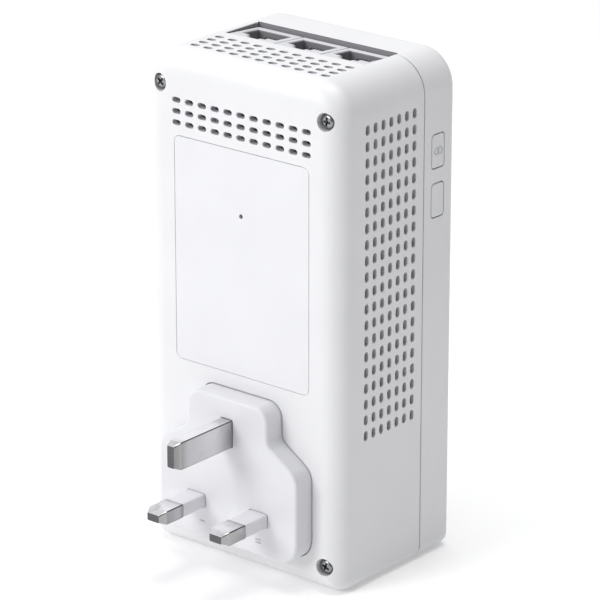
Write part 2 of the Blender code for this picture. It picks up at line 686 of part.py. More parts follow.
def clip_outline(middle, leaf=0.6, inner=2.4):
    """A tail from the pin, then a pair of leaves: along Y, and across."""
    tail_start = PIN_INNER_END + GAP
    back = 31.0
    leaf_end = 46.0
    outer = inner + leaf
    return [
        (tail_start, middle - 0.4), (back, middle - 0.4), (back, middle - outer),
        (leaf_end, middle - outer), (leaf_end, middle - inner), (back + leaf, middle - inner),
        (back + leaf, middle + inner), (leaf_end, middle + inner), (leaf_end, middle + outer),
        (back, middle + outer), (back, middle + 0.4), (tail_start, middle + 0.4),
    ]


def make_spring(metal, steps_per_turn=8, sides=4):
    """A compression spring along Z, closed at both ends by flat caps."""
    bm = bmesh.new()
    low, high = SPRING_Z[0] + SPRING_WIRE, SPRING_Z[1] - SPRING_WIRE
    total = SPRING_TURNS * steps_per_turn
    rings = []
    for step in range(total + 1):
        turn = 2 * math.pi * step / steps_per_turn
        outward = Vector((math.cos(turn), math.sin(turn), 0.0))
        centre = outward * SPRING_RADIUS + Vector((0.0, SPRING_Y, low + (high - low) * step / total))
        rings.append([centre + SPRING_WIRE * (outward * math.cos(2 * math.pi * k / sides)
                                              + Vector((0, 0, 1)) * math.sin(2 * math.pi * k / sides))
                      for k in range(sides)])
    loft(bm, rings)
    finish_object("shutter_spring", bm, metal, (0.0, SPRING_Y, SPRING_Z[0]))


# Assembly ----------------------------------------------------------------------------------

def make_finishes():
    return {
        "shell": material("shell_plastic", (0.90, 0.90, 0.91), 0.38),
        "label": material("label_film", (0.93, 0.93, 0.95), 0.5),
        "plug": material("plug_plastic", (0.84, 0.84, 0.86), 0.42),
        "sleeve": material("sleeve_plastic", (0.62, 0.61, 0.66), 0.45),
        "pin": material("plated_pin", (0.72, 0.71, 0.70), 0.25, 1.0),
        "screw": material("screw_steel", (0.45, 0.45, 0.46), 0.35, 1.0),
        "jack": material("jack_plastic", (0.72, 0.72, 0.75), 0.45),
        "gold": material("gold_contact", (0.85, 0.62, 0.25), 0.25, 1.0),
        "button": material("button_plastic", (0.88, 0.88, 0.90), 0.4),
        "switch": material("switch_plastic", (0.05, 0.05, 0.05), 0.5),
        "logic": material("logic_laminate", (0.02, 0.15, 0.08), 0.45),
        "power": material("power_laminate", (0.35, 0.24, 0.10), 0.5),
        "chip": material("chip_resin", (0.03, 0.03, 0.035), 0.5),
        "ferrite": material("ferrite", (0.05, 0.05, 0.055), 0.6),
        "tape": material("winding_tape", (0.80, 0.62, 0.08), 0.4),
        "capacitor": material("capacitor_sleeve", (0.03, 0.05, 0.12), 0.35),
        "filter_box": material("filter_box", (0.75, 0.60, 0.12), 0.45),
        "ceramic": material("fuse_case", (0.75, 0.74, 0.70), 0.4),
        "varistor": material("varistor_coat", (0.05, 0.15, 0.45), 0.5),
        "copper": material("enamelled_copper", (0.55, 0.22, 0.08), 0.3, 1.0),
        "aluminium": material("heat_sink_aluminium", (0.55, 0.56, 0.58), 0.4, 1.0),
        "led": material("led_body", (0.85, 0.88, 0.75), 0.3),
        "clear": material("light_pipe", (0.90, 0.92, 0.92), 0.15, 0.0, 0.6),
        "brass": material("contact_brass", (0.70, 0.52, 0.22), 0.3, 1.0),
        "shutter": material("shutter_plastic", (0.80, 0.80, 0.82), 0.45),
    }


def main():
    for old in list(bpy.data.objects):
        bpy.data.objects.remove(old, do_unlink=True)
    finishes = make_finishes()
    make_rear_shell(finishes["shell"])
    make_front_shell(finishes["shell"])
    make_label(finishes["label"])
    make_plug(finishes["plug"], finishes["pin"], finishes["sleeve"])
    make_jacks(finishes["jack"], finishes["gold"])
    for name, centre_z in BUTTON_CENTRES_Z.items():
        make_button(name, centre_z, finishes["button"], finishes["switch"], finishes["button"])
    for index, place_xz in enumerate(screw_places(), 1):
        make_screw(f"housing_screw_{index}", finishes["screw"], place_xz,
                   HEAD_RADIUS, 6.9, COUNTERBORE_FLOOR - GAP, SHANK_RADIUS, 20.0)
    make_board("power_board", finishes["power"], POWER_BOARD_X, POWER_BOARD_Y, POWER_BOARD_Z, POWER_POSTS)
    make_board("logic_board", finishes["logic"], LOGIC_BOARD_X, LOGIC_BOARD_Y, LOGIC_BOARD_Z, LOGIC_POSTS)
    for index, place_xz in enumerate(POWER_POSTS, 1):
        make_screw(f"power_board_screw_{index}", finishes["screw"], place_xz,
                   1.9, POWER_BOARD_Y[1] + 1.5, POWER_BOARD_Y[1] + GAP, 0.65, 9.9)
    for index, place_xz in enumerate(LOGIC_POSTS, 1):
        make_screw(f"logic_board_screw_{index}", finishes["screw"], place_xz,
                   1.9, LOGIC_BOARD_Y[0] - 1.5, LOGIC_BOARD_Y[0] - GAP, 0.65, LOGIC_BOARD_Y[1] + 3.5)
    make_power_supply(finishes)
    make_logic_parts(finishes)
    make_socket(finishes["plug"], finishes["brass"], finishes["shutter"])


main()
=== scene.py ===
"""Looks of the powerline adapter: fine shells, plug, jacks, buttons and finishes.

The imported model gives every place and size. Shapes here are worked in millimetres in its frame
(+Z up, pins along -Y), and make_piece turns them into metres.
"""
import math

import bmesh
import bpy
from mathutils import Matrix, Vector


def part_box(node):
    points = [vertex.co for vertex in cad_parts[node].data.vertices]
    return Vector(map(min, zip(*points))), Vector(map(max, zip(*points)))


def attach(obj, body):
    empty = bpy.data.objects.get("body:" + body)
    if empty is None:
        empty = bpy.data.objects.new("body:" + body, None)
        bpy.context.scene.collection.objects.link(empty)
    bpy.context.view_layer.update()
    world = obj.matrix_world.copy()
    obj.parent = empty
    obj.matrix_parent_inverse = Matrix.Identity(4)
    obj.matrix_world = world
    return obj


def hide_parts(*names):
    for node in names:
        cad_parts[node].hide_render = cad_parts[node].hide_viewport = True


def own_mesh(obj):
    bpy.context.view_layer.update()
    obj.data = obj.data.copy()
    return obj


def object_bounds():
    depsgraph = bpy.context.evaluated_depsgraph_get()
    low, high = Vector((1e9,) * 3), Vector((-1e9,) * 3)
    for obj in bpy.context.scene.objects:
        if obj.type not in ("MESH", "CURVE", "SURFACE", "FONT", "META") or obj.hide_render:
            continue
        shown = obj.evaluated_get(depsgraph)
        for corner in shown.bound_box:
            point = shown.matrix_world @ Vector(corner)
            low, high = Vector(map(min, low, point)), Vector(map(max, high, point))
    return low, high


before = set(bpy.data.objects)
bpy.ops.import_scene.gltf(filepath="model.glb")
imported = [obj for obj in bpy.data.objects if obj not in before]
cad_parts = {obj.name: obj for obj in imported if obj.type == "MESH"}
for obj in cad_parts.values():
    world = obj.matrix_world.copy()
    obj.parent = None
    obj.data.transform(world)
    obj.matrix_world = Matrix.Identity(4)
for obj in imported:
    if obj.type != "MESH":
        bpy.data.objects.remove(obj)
cad_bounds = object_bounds()

MM = 0.001
GAP = 0.3


def node_box(node):
    """The lowest and highest corner of a CAD node, in millimetres."""
    low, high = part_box(node)
    return low / MM, high / MM


def centre_across(low, high):
    """The middle of a box in X and Z."""
    return (low.x + high.x) / 2, (low.z + high.z) / 2


rear_low, rear_high = node_box("rear_shell")
label_low, label_high = node_box("rating_label")
HALF_WIDTH = rear_high.x
TOP = rear_high.z
BOTTOM = rear_low.z
REAR_FACE = rear_low.y
SEAM = rear_high.y
FRONT_FACE = node_box("front_shell")[1].y
WALL = 2.0
TOP_CORNER_RADIUS = 10.0
BOTTOM_CORNER_RADIUS = 4.0
REAR_EDGE_RADIUS = 6.5
FRONT_EDGE_RADIUS = 2.6
SEAM_EDGE_RADIUS = 0.25
LIP_OUTSIDE = 2.35
LIP_INSIDE = 3.4
LIP_HEIGHT = 2.1
SCREW_SEAT_Y = 9.0
SCREW_HEAD_BORE_RADIUS = 2.4
SHANK_HOLE_RADIUS = 1.6
REAR_BOSS_RADIUS = 2.85
REAR_BOSS_Y = (8.3, 12.0)
FRONT_BOSS_RADIUS = 2.5
FRONT_BOSS_START_Y = 12.3
THREAD_BORE_RADIUS = 1.4
THREAD_BORE_Y = (11.0, 22.0)
BOARD_BOSS_RADIUS = 2.4
BOARD_BORE_RADIUS = 1.0
BOARD_BORE_DEPTH = 4.5
SCREW_AXES = [centre_across(*node_box(f"housing_screw_{index}")) for index in range(1, 5)]
BOARD_BOSS_AXES = ((-22.0, 96.0), (22.0, 50.0))
LABEL_MIDDLE = (label_low.z + label_high.z) / 2
LABEL_HALF_HEIGHT = (label_high.z - label_low.z) / 2
LABEL_CORNER_RADIUS = 1.7
LABEL_CLEARANCE = 0.12
LABEL_RECESS_DEPTH = 0.55
LABEL_HOLE_AXIS = (0.0, 82.0)

VENT_PITCH = 4.5
VENT_ROW_PITCH = 3.15
VENT_DEPTH_PITCH = 3.3
VENT_LENGTH = 2.9
VENT_WIDTH = 1.45
VENT_TOP_Z = 110.0
TOP_VENT_FAR_Y = 24.3
SIDE_VENT_NEAR_Y = 17.7

JACK_RECESS_HALF_WIDTH = 24.2
JACK_RECESS_FAR_Y = 42.6
CAVITY_FAR_Y = 39.9
CAVITY_LENGTH = 6.8
CAVITY_DEPTH = 14.5
CAVITY_HALF_WIDTHS = (5.9, 3.1, 1.65)       # body, latch channel, latch notch
LATCH_CHANNEL_LENGTH = 1.6
LATCH_NOTCH_LENGTH = 1.2
CONTACT_PITCH = 1.02

BUTTON_Y = 47.7
BUTTON_HALF_Y = 2.6
BUTTON_HALF_Z = 4.65
BUTTON_CORNER_RADIUS = 1.0
BUTTON_GAP = 0.28

PIN_SPACING = 22.23
EARTH_Z = 22.23
PLUG_CORNERS = (
    (-24.4, -11.0, 6.5), (24.4, -11.0, 6.5), (24.4, 14.9, 5.5), (14.0, 21.8, 3.5),
    (14.0, 32.0, 4.2), (-14.0, 32.0, 4.2), (-14.0, 21.8, 3.5), (-24.4, 14.9, 5.5),
)
SOCKET_HOLES = (        # x, z, half width, half height
    (-PIN_SPACING / 2, 0.0, 3.55, 2.35), (PIN_SPACING / 2, 0.0, 3.55, 2.35),
    (0.0, EARTH_Z, 2.35, 4.35),
)


# Meshes ------------------------------------------------------------------------------------

def place(point, height, axis):
    """A point of a flat outline, lifted by height along the named axis."""
    a, b = point
    if axis == "X":
        return Vector((height, a, b))
    if axis == "Y":
        return Vector((a, height, b))
    return Vector((a, b, height))


def loft(bm, rings):
    """Close a body through rings of equal point count, capped at both ends."""
    loops = [[bm.verts.new(point) for point in ring] for ring in rings]
    count = len(loops[0])
    for lower, upper in zip(loops, loops[1:]):
        for i in range(count):
            j = (i + 1) % count
            bm.faces.new((lower[i], lower[j], upper[j], upper[i]))
    bm.faces.new(loops[0][::-1])
    bm.faces.new(loops[-1])


def prism(bm, outline, axis, low, high):
    """A flat outline drawn out along an axis."""
    loft(bm, [[place(p, height, axis) for p in outline] for height in (low, high)])


def box(bm, low, high):
    corners = [(low[0], low[1]), (high[0], low[1]), (high[0], high[1]), (low[0], high[1])]
    prism(bm, corners, "Z", low[2], high[2])


def turned(bm, centre, profile):
    """A round body along Y through (radius, y) pairs."""
    loft(bm, [[place(p, y, "Y") for p in circle(centre, radius)] for radius, y in profile])


def circle(centre, radius, sides=32):
    turn = 2 * math.pi / sides
    return [(centre[0] + radius * math.cos(turn * i), centre[1] + radius * math.sin(turn * i))
            for i in range(sides)]


def fillet(corners, steps=8):
    """The outline through (a, b, radius) corners, each rounded by an arc of its radius."""
    outline = []
    for i, (a, b, radius) in enumerate(corners):
        corner = Vector((a, b))
        before = (Vector(corners[i - 1][:2]) - corner).normalized()
        after = (Vector(corners[(i + 1) % len(corners)][:2]) - corner).normalized()
        half = before.angle(after) / 2
        centre = corner + (before + after).normalized() * (radius / math.sin(half))
        start = corner + before * (radius / math.tan(half)) - centre
        end = corner + after * (radius / math.tan(half)) - centre
        sweep = start.angle_signed(end)
        for step in range(steps + 1):
            angle = -sweep * step / steps
            x = start.x * math.cos(angle) - start.y * math.sin(angle)
            y = start.x * math.sin(angle) + start.y * math.cos(angle)
            outline.append((centre.x + x, centre.y + y))
    return outline


def rounded_box(half_a, half_b, radius, centre=(0.0, 0.0), steps=6):
    corners = [(-half_a, -half_b), (half_a, -half_b), (half_a, half_b), (-half_a, half_b)]
    return fillet([(centre[0] + a, centre[1] + b, radius) for a, b in corners], steps)


def grow(corners, amount):
    """Corners of a closed outline moved outwards by amount, radii following."""
    grown = []
    for i, (a, b, radius) in enumerate(corners):
        before = Vector((a, b)) - Vector(corners[i - 1][:2])
        after = Vector(corners[(i + 1) % len(corners)][:2]) - Vector((a, b))
        out_before = Vector((before.y, -before.x)).normalized()
        out_after = Vector((after.y, -after.x)).normalized()
        shift = (out_before + out_after) / (1 + out_before.dot(out_after)) * amount
        convex = before.cross(after) > 0
        grown.append((a + shift.x, b + shift.y, radius + (amount if convex else -amount)))
    return grown


def stadium(centre, half_long, half_short, long_first=True, steps=5):
    """A slot outline with round ends."""
    reach = half_long - half_short
    points = []
    for side in (1, -1):
        for step in range(steps + 1):
            angle = math.pi * step / steps - math.pi / 2
            points.append((side * (reach + half_short * math.cos(angle)),
                           side * half_short * math.sin(angle)))
    if not long_first:
        points = [(-b, a) for a, b in points]
    return [(centre[0] + a, centre[1] + b) for a, b in points]


# A rounded mouth: how much wider than its hole, and the depth below the surface where it is so
MOUTH = ((0.90, -0.25), (0.115, 0.035), (0.04, 0.09), (0.0, 0.20))


def flared_hole(bm, outline_at, axis, surface, direction, depth, size=1.0):
    """A cutter with a rounded mouth: outline_at(extra) gives the hole's outline, extra wider."""
    rings = []
    for extra, below in MOUTH:
        height = surface + direction * below * size
        rings.append([place(p, height, axis) for p in outline_at(extra * size)])
    rings.append([place(p, surface + direction * depth, axis) for p in outline_at(0.0)])
    loft(bm, rings)


def swap_mesh(piece, bm):
    """Give a piece a new mesh and keep its materials."""
    old = piece.data
    mesh = bpy.data.meshes.new(piece.name)
    bm.to_mesh(mesh)
    bm.free()
    for finish in old.materials:
        mesh.materials.append(finish)
    piece.data = mesh
    bpy.data.meshes.remove(old)


def plain_object(name, bm):
    bmesh.ops.recalc_face_normals(bm, faces=bm.faces)
    mesh = bpy.data.meshes.new(name)
    bm.to_mesh(mesh)
    bm.free()
    made = bpy.data.objects.new(name, mesh)
    bpy.context.scene.collection.objects.link(made)
    return made


def combine(target, operation, bm):
    """Join or cut target with a body, for good."""
    other = plain_object("guide", bm)
    modifier = target.modifiers.new("combine", "BOOLEAN")
    modifier.operation = operation
    modifier.solver = "EXACT"
    modifier.object = other
    bpy.context.view_layer.update()
    shown = target.evaluated_get(bpy.context.evaluated_depsgraph_get())
    result = bmesh.new()
    result.from_mesh(shown.data)
    target.modifiers.remove(modifier)
    old = other.data
    bpy.data.objects.remove(other, do_unlink=True)
    bpy.data.meshes.remove(old)
    swap_mesh(target, result)


def finish_piece(piece, finish, body, nodes=(), sharp=38, weighted=True):
    """Metres, smooth shading, material, body, and the CAD nodes that the piece stands for."""
    piece.data.transform(Matrix.Scale(MM, 4))
    piece.data.shade_smooth()
    piece.data.set_sharp_from_angle(angle=math.radians(sharp))
    if weighted:
        normals = piece.modifiers.new("face_normals", "WEIGHTED_NORMAL")
        normals.keep_sharp = True
    piece.data.materials.clear()
    piece.data.materials.append(finish)
    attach(piece, body)
    if nodes:
        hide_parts(*nodes)
    return piece


def make_piece(name, bm, finish, body, nodes=(), sharp=38, weighted=True):
    return finish_piece(plain_object(name, bm), finish, body, nodes, sharp, weighted)


# Materials ---------------------------------------------------------------------------------

class Finish:
    """A Principled material with its nodes close at hand."""

    def __init__(self, name, colour, roughness, metallic=0.0, inputs=None):
        self.material = bpy.data.materials.new(name)
        self.material.use_nodes = True
        self.tree = self.material.node_tree
        self.shader = self.tree.nodes["Principled BSDF"]
        self.shader.inputs["Base Color"].default_value = (*colour, 1.0)
        self.shader.inputs["Roughness"].default_value = roughness
        self.shader.inputs["Metallic"].default_value = metallic
        for socket, value in (inputs or {}).items():
            self.shader.inputs[socket].default_value = value
        self.colour = colour
        self.roughness = roughness
        self.coordinates = self.tree.nodes.new("ShaderNodeTexCoord").outputs["Object"]

    def stretched(self, scale):
        """Object coordinates scaled differently along X, Y and Z."""
        mapping = self.tree.nodes.new("ShaderNodeMapping")
        mapping.inputs["Scale"].default_value = scale
        self.tree.links.new(self.coordinates, mapping.inputs["Vector"])
        return mapping.outputs["Vector"]

    def noise(self, scale, detail=3.0, rough=0.55, vector=None):
        made = self.tree.nodes.new("ShaderNodeTexNoise")
        made.inputs["Scale"].default_value = scale
        made.inputs["Detail"].default_value = detail
        made.inputs["Roughness"].default_value = rough
        self.tree.links.new(vector or self.coordinates, made.inputs["Vector"])
        return made.outputs["Fac"]

    def spread(self, value, low, high, floor=0.3, ceiling=0.7):
        """Remap a texture value to run from low to high."""
        remap = self.tree.nodes.new("ShaderNodeMapRange")
        remap.inputs["From Min"].default_value = floor
        remap.inputs["From Max"].default_value = ceiling
        remap.inputs["To Min"].default_value = low
        remap.inputs["To Max"].default_value = high
        self.tree.links.new(value, remap.inputs["Value"])
        return remap.outputs["Result"]

    def vary_colour(self, value, other, floor=0.35, ceiling=0.65):
        """Mix towards another colour where a texture value is high."""
        mix = self.tree.nodes.new("ShaderNodeMix")
        mix.data_type = "RGBA"
        base = self.shader.inputs["Base Color"]
        if base.is_linked:
            self.tree.links.new(base.links[0].from_socket, mix.inputs[6])
        else:
            mix.inputs[6].default_value = (*self.colour, 1.0)
        mix.inputs[7].default_value = (*other, 1.0)
        self.tree.links.new(self.spread(value, 0.0, 1.0, floor, ceiling), mix.inputs[0])
        self.tree.links.new(mix.outputs[2], base)

    def vary_roughness(self, value, amount):
        self.tree.links.new(self.spread(value, self.roughness - amount, self.roughness + amount),
                            self.shader.inputs["Roughness"])

    def bump(self, value, depth_mm, strength=1.0):
        """Add relief; more than one call stacks."""
        made = self.tree.nodes.new("ShaderNodeBump")
        made.inputs["Distance"].default_value = depth_mm * MM
        made.inputs["Strength"].default_value = strength
        self.tree.links.new(value, made.inputs["Height"])
        normal = self.shader.inputs["Normal"]
        if normal.is_linked:
            self.tree.links.new(normal.links[0].from_socket, made.inputs["Normal"])
        self.tree.links.new(made.outputs["Normal"], normal)


def moulded(name, colour, roughness, grain_mm=0.22, depth_mm=0.006, inputs=None):
    """Moulded plastic: fine spark-eroded grain, faint flow and handling marks."""
    finish = Finish(name, colour, roughness, 0.0, inputs)
    finish.vary_colour(finish.noise(45.0, 2.0), tuple(c * 0.975 for c in colour))
    finish.vary_roughness(finish.noise(160.0, 4.0), 0.05)
    finish.bump(finish.noise(1.0 / (grain_mm * MM), 2.0), depth_mm, 0.5)
    finish.bump(finish.noise(70.0, 1.0), 0.02, 0.25)
    return finish.material


def drawn_metal(name, colour, roughness, along, depth_mm=0.004, grain=9000.0):
    """Metal with fine draw lines along one axis and slightly uneven plating."""
    finish = Finish(name, colour, roughness, 1.0)
    scale = [grain, grain, grain]
    scale["XYZ".index(along)] = grain / 45.0
    lines = finish.noise(1.0, 3.0, 0.6, finish.stretched(scale))
    finish.vary_roughness(lines, 0.08)
    finish.vary_colour(finish.noise(220.0, 3.0), tuple(c * 0.86 for c in colour))
    finish.bump(lines, depth_mm, 0.6)
    return finish.material


def plated(name, painted_light_tones):
    """Plated pin: satin metal, with painted shade, highlight and reflection graded along its length
    as (y in mm, tone).
    """
    finish = Finish(name, (0.7, 0.69, 0.7), 0.17, 1.0)
    tree = finish.tree
    split = tree.nodes.new("ShaderNodeSeparateXYZ")
    tree.links.new(finish.coordinates, split.inputs["Vector"])
    start, end = painted_light_tones[0][0], painted_light_tones[-1][0]
    along = finish.spread(split.outputs["Y"], 0.0, 1.0, start * MM, end * MM)
    # Painted light: the ramp sets the tone along the pin's length.
    ramp = tree.nodes.new("ShaderNodeValToRGB")
    ramp.color_ramp.interpolation = "EASE"
    points = ramp.color_ramp.elements
    while len(points) < len(painted_light_tones):
        points.new(0.5)
    for point, (y, tone) in zip(points, painted_light_tones):
        point.position = (y - start) / (end - start)
        point.color = (tone, tone * 0.985, tone, 1.0)
    tree.links.new(along, ramp.inputs["Fac"])
    tree.links.new(ramp.outputs["Color"], finish.shader.inputs["Base Color"])
    finish.vary_colour(finish.noise(200.0, 3.0), (0.5, 0.49, 0.5), 0.55, 0.9)
    lines = finish.noise(1.0, 3.0, 0.6, finish.stretched((9000.0, 200.0, 9000.0)))
    finish.vary_roughness(lines, 0.07)
    finish.bump(lines, 0.0015, 0.6)
    return finish.material


def laminate(name, colour, trace, trace_scale):
    """Circuit board: solder mask or bare laminate with copper runs and glass weave."""
    finish = Finish(name, colour, 0.42)
    runs = finish.tree.nodes.new("ShaderNodeTexBrick")
    runs.inputs["Scale"].default_value = trace_scale
    runs.inputs["Mortar Size"].default_value = 0.06
    runs.inputs["Color1"].default_value = (0.0, 0.0, 0.0, 1.0)
    runs.inputs["Color2"].default_value = (0.1, 0.1, 0.1, 1.0)
    runs.inputs["Mortar"].default_value = (1.0, 1.0, 1.0, 1.0)
    turned = finish.tree.nodes.new("ShaderNodeMapping")
    turned.inputs["Rotation"].default_value = (math.pi / 2, 0.0, 0.0)
    finish.tree.links.new(finish.coordinates, turned.inputs["Vector"])
    finish.tree.links.new(turned.outputs["Vector"], runs.inputs["Vector"])
    finish.vary_colour(runs.outputs["Color"], trace, 0.3, 0.9)
    finish.vary_colour(finish.noise(900.0, 2.0), tuple(c * 0.8 for c in colour), 0.5, 0.75)
    finish.bump(runs.outputs["Color"], 0.03, 0.6)
    return finish.material


def wound(name, colour, metallic, roughness, turns_per_m, along, depth_mm=0.08):
    """Windings or fins: ridges repeated along one axis."""
    finish = Finish(name, colour, roughness, metallic)
    wave = finish.tree.nodes.new("ShaderNodeTexWave")
    wave.bands_direction = along
    wave.inputs["Scale"].default_value = turns_per_m / (2 * math.pi)
    wave.inputs["Distortion"].default_value = 0.4
    finish.tree.links.new(finish.coordinates, wave.inputs["Vector"])
    finish.vary_colour(wave.outputs["Fac"], tuple(c * 0.7 for c in colour), 0.1, 0.9)
    finish.bump(wave.outputs["Fac"], depth_mm, 0.7)
    return finish.material


def grainy(name, colour, roughness, grain_mm=0.15, depth_mm=0.02):
    """Resin, ferrite and dipped coats."""
    finish = Finish(name, colour, roughness)
    finish.vary_colour(finish.noise(300.0, 4.0), tuple(min(1.0, c * 1.5 + 0.01) for c in colour))
    finish.vary_roughness(finish.noise(500.0, 3.0), 0.07)
    finish.bump(finish.noise(1.0 / (grain_mm * MM), 2.0), depth_mm, 0.5)
    return finish.material


SHELL = moulded("shell_plastic", (0.80, 0.80, 0.815), 0.40)
# Painted shade: a darker grey for the shell's hollow and the walls of its vents, holes and gaps,
# where shade falls; the real inside is the same white plastic.
INSIDE_PAINTED_SHADE = moulded("shell_inside_painted_shade", (0.58, 0.58, 0.60), 0.6, 0.3, 0.01)
# Painted shade: dark grey for the walls of the jack recess, which lie in shadow.
RECESS_PAINTED_SHADE = moulded("recess_wall_painted_shade", (0.25, 0.25, 0.26), 0.5, 0.3, 0.008)
LABEL = moulded("label_film", (0.79, 0.79, 0.815), 0.46, 0.5, 0.004)
PLUG = moulded("plug_plastic", (0.75, 0.75, 0.775), 0.40, 0.2, 0.005)
SLEEVE = moulded("sleeve_plastic", (0.74, 0.735, 0.77), 0.42, 0.3, 0.004)
BUTTON = moulded("button_plastic", (0.78, 0.78, 0.80), 0.36, 0.3, 0.003)
# Painted shade: dark grey for the jack cavities and their combs, which lie in shadow inside the light
# jack plastic.
JACK_CAVITY_PAINTED_SHADE = moulded("jack_cavity_painted_shade", (0.26, 0.26, 0.275), 0.5, 0.3, 0.008)
MARK = moulded("pin_mark", (0.50, 0.50, 0.52), 0.45)
# Painted reflection: dark metal for the pins' flat ends and corner faces, standing in for dark
# surroundings mirrored there.
PIN_END_PAINTED_REFLECTION = drawn_metal("pin_end_painted_reflection", (0.13, 0.13, 0.135), 0.3, "X", 0.004, 5000.0)
JACK = moulded("jack_plastic", (0.68, 0.68, 0.71), 0.42, 0.2, 0.006)
SHUTTER = moulded("shutter_plastic", (0.70, 0.70, 0.72), 0.45)
BLACK = moulded("black_plastic", (0.03, 0.03, 0.033), 0.45, 0.2, 0.01)
# Painted light on the pins: the side copies carry painted shade and the top copies a painted
# highlight, each graded along the pin's length as (y in mm, tone).
EARTH_PIN_PAINTED_SIDE_SHADE = plated("earth_pin_side_painted_shade", ((-22.7, 0.26), (-17.0, 0.60), (-7.0, 0.76), (0.0, 0.50)))
EARTH_PIN_PAINTED_TOP_HIGHLIGHT = plated("earth_pin_top_painted_highlight", ((-22.7, 0.86), (-16.0, 0.97), (-7.0, 0.95), (0.0, 0.60)))
LIVE_PIN_PAINTED_SIDE_SHADE = plated("live_pin_side_painted_shade", ((-17.7, 0.36), (-14.0, 0.42), (-11.0, 0.50), (-9.0, 0.34)))
LIVE_PIN_PAINTED_TOP_HIGHLIGHT = plated("live_pin_top_painted_highlight", ((-17.7, 0.90), (-14.0, 0.95), (-11.0, 0.80), (-9.0, 0.50)))
SCREW = drawn_metal("screw_steel", (0.33, 0.335, 0.34), 0.30, "Z", grain=5000.0)
SPRING_STEEL = drawn_metal("spring_steel", (0.62, 0.62, 0.64), 0.25, "Z")
GOLD = drawn_metal("gold_contact", (0.95, 0.68, 0.28), 0.22, "Z")
BRASS = drawn_metal("contact_brass", (0.74, 0.55, 0.25), 0.28, "Y")
ALUMINIUM = drawn_metal("heat_sink_aluminium", (0.60, 0.61, 0.63), 0.35, "Z")
CLEAR = moulded("light_pipe", (0.92, 0.94, 0.94), 0.12, 0.5, 0.001,
                {"Transmission Weight": 0.55, "IOR": 1.49})
LED = grainy("led_body", (0.80, 0.82, 0.62), 0.3)
CHIP = grainy("chip_resin", (0.025, 0.025, 0.028), 0.5)
FERRITE = grainy("ferrite", (0.045, 0.045, 0.05), 0.62, 0.25, 0.03)
CAPACITOR = moulded("capacitor_sleeve", (0.03, 0.05, 0.13), 0.3)

CARRIED_OVER = {
    "logic_board": laminate("logic_laminate", (0.015, 0.13, 0.06), (0.05, 0.26, 0.12), 260.0),
    "power_board": laminate("power_laminate", (0.30, 0.21, 0.09), (0.42, 0.33, 0.18), 150.0),
    "powerline_chip": CHIP,
    "ethernet_switch_chip": CHIP,
    "memory_chip": CHIP,
    "coupling_transformer": FERRITE,
    "transformer_core": FERRITE,
    "transformer_winding": wound("winding_tape", (0.80, 0.60, 0.07), 0.0, 0.35, 900.0, "Y"),
    "common_mode_choke": wound("enamelled_copper", (0.62, 0.26, 0.10), 1.0, 0.3, 1500.0, "X", 0.15),
    "bulk_capacitor": CAPACITOR,
    "output_capacitor": CAPACITOR,
    "filter_capacitor": moulded("filter_box", (0.74, 0.56, 0.10), 0.4),
    "fuse": moulded("fuse_case", (0.72, 0.70, 0.66), 0.38),
    "varistor": grainy("varistor_coat", (0.04, 0.13, 0.42), 0.4, 0.3, 0.03),
    "heat_sink": ALUMINIUM,
    "board_header": BLACK,
    "pair_switch_body": BLACK,
    "reset_switch_body": BLACK,
    "pair_switch_plunger": BUTTON,
    "reset_switch_plunger": BUTTON,
    "status_led_1": LED,
    "status_led_2": LED,
    "status_led_3": LED,
    "socket_block": PLUG,
    "socket_shutter": SHUTTER,
    "socket_contact_line": BRASS,
    "socket_contact_neutral": BRASS,
    "socket_contact_earth": BRASS,
    "power_board_screw_1": SCREW,
    "power_board_screw_2": SCREW,
    "logic_board_screw_1": SCREW,
    "logic_board_screw_2": SCREW,
}


def finish_carried_over():
    """Materials for the CAD nodes inside, which no finer piece replaces."""
    for node, finish in CARRIED_OVER.items():
        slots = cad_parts[node].data.materials
        slots.clear()
        slots.append(finish)


# Housing -----------------------------------------------------------------------------------

def housing_outline(inset):
    """The housing's outline in X and Z, moved inwards by inset."""
    top_radius = max(TOP_CORNER_RADIUS - inset, 0.6)
    bottom_radius = max(BOTTOM_CORNER_RADIUS - inset, 0.6)
    side = HALF_WIDTH - inset
    return fillet([
        (-side, BOTTOM + inset, bottom_radius), (side, BOTTOM + inset, bottom_radius),
        (side, TOP - inset, top_radius), (-side, TOP - inset, top_radius),
    ], 12)


def housing_ring(y, inset):
    return [place(point, y, "Y") for point in housing_outline(inset)]


def edge_rings(face, radius, inset, direction, steps=9):
    """Rings round an edge, from the flat face outwards to the wall's inset."""
    rings = []
    for step in range(steps + 1):
        angle = math.pi / 2 * step / steps
        y = face + direction * radius * (1 - math.cos(angle))
        rings.append(housing_ring(y, inset + radius * (1 - math.sin(angle))))
    return rings


def seam_rings(y, direction):
    """The small rounded edge where a shell meets the seam; direction points into the shell."""
    radius = SEAM_EDGE_RADIUS
    return [housing_ring(y + direction * radius, 0.0),
            housing_ring(y + direction * radius * 0.29, radius * 0.29),
            housing_ring(y, radius)]


# Each vented face's extra half width and size of mouth, against the axis that it faces along
VENT_SHAPES = {"X": (0.09, 0.8), "Y": (0.0, 1.0), "Z": (0.22, 0.5)}


def vent(bm, a, b, axis, surface, direction, long_first):
    widen, mouth = VENT_SHAPES[axis]

    def outline(extra):
        return stadium((a, b), VENT_LENGTH / 2 + extra, VENT_WIDTH / 2 + widen + extra, long_first)
    flared_hole(bm, outline, axis, surface, direction, WALL + 1.0, mouth)


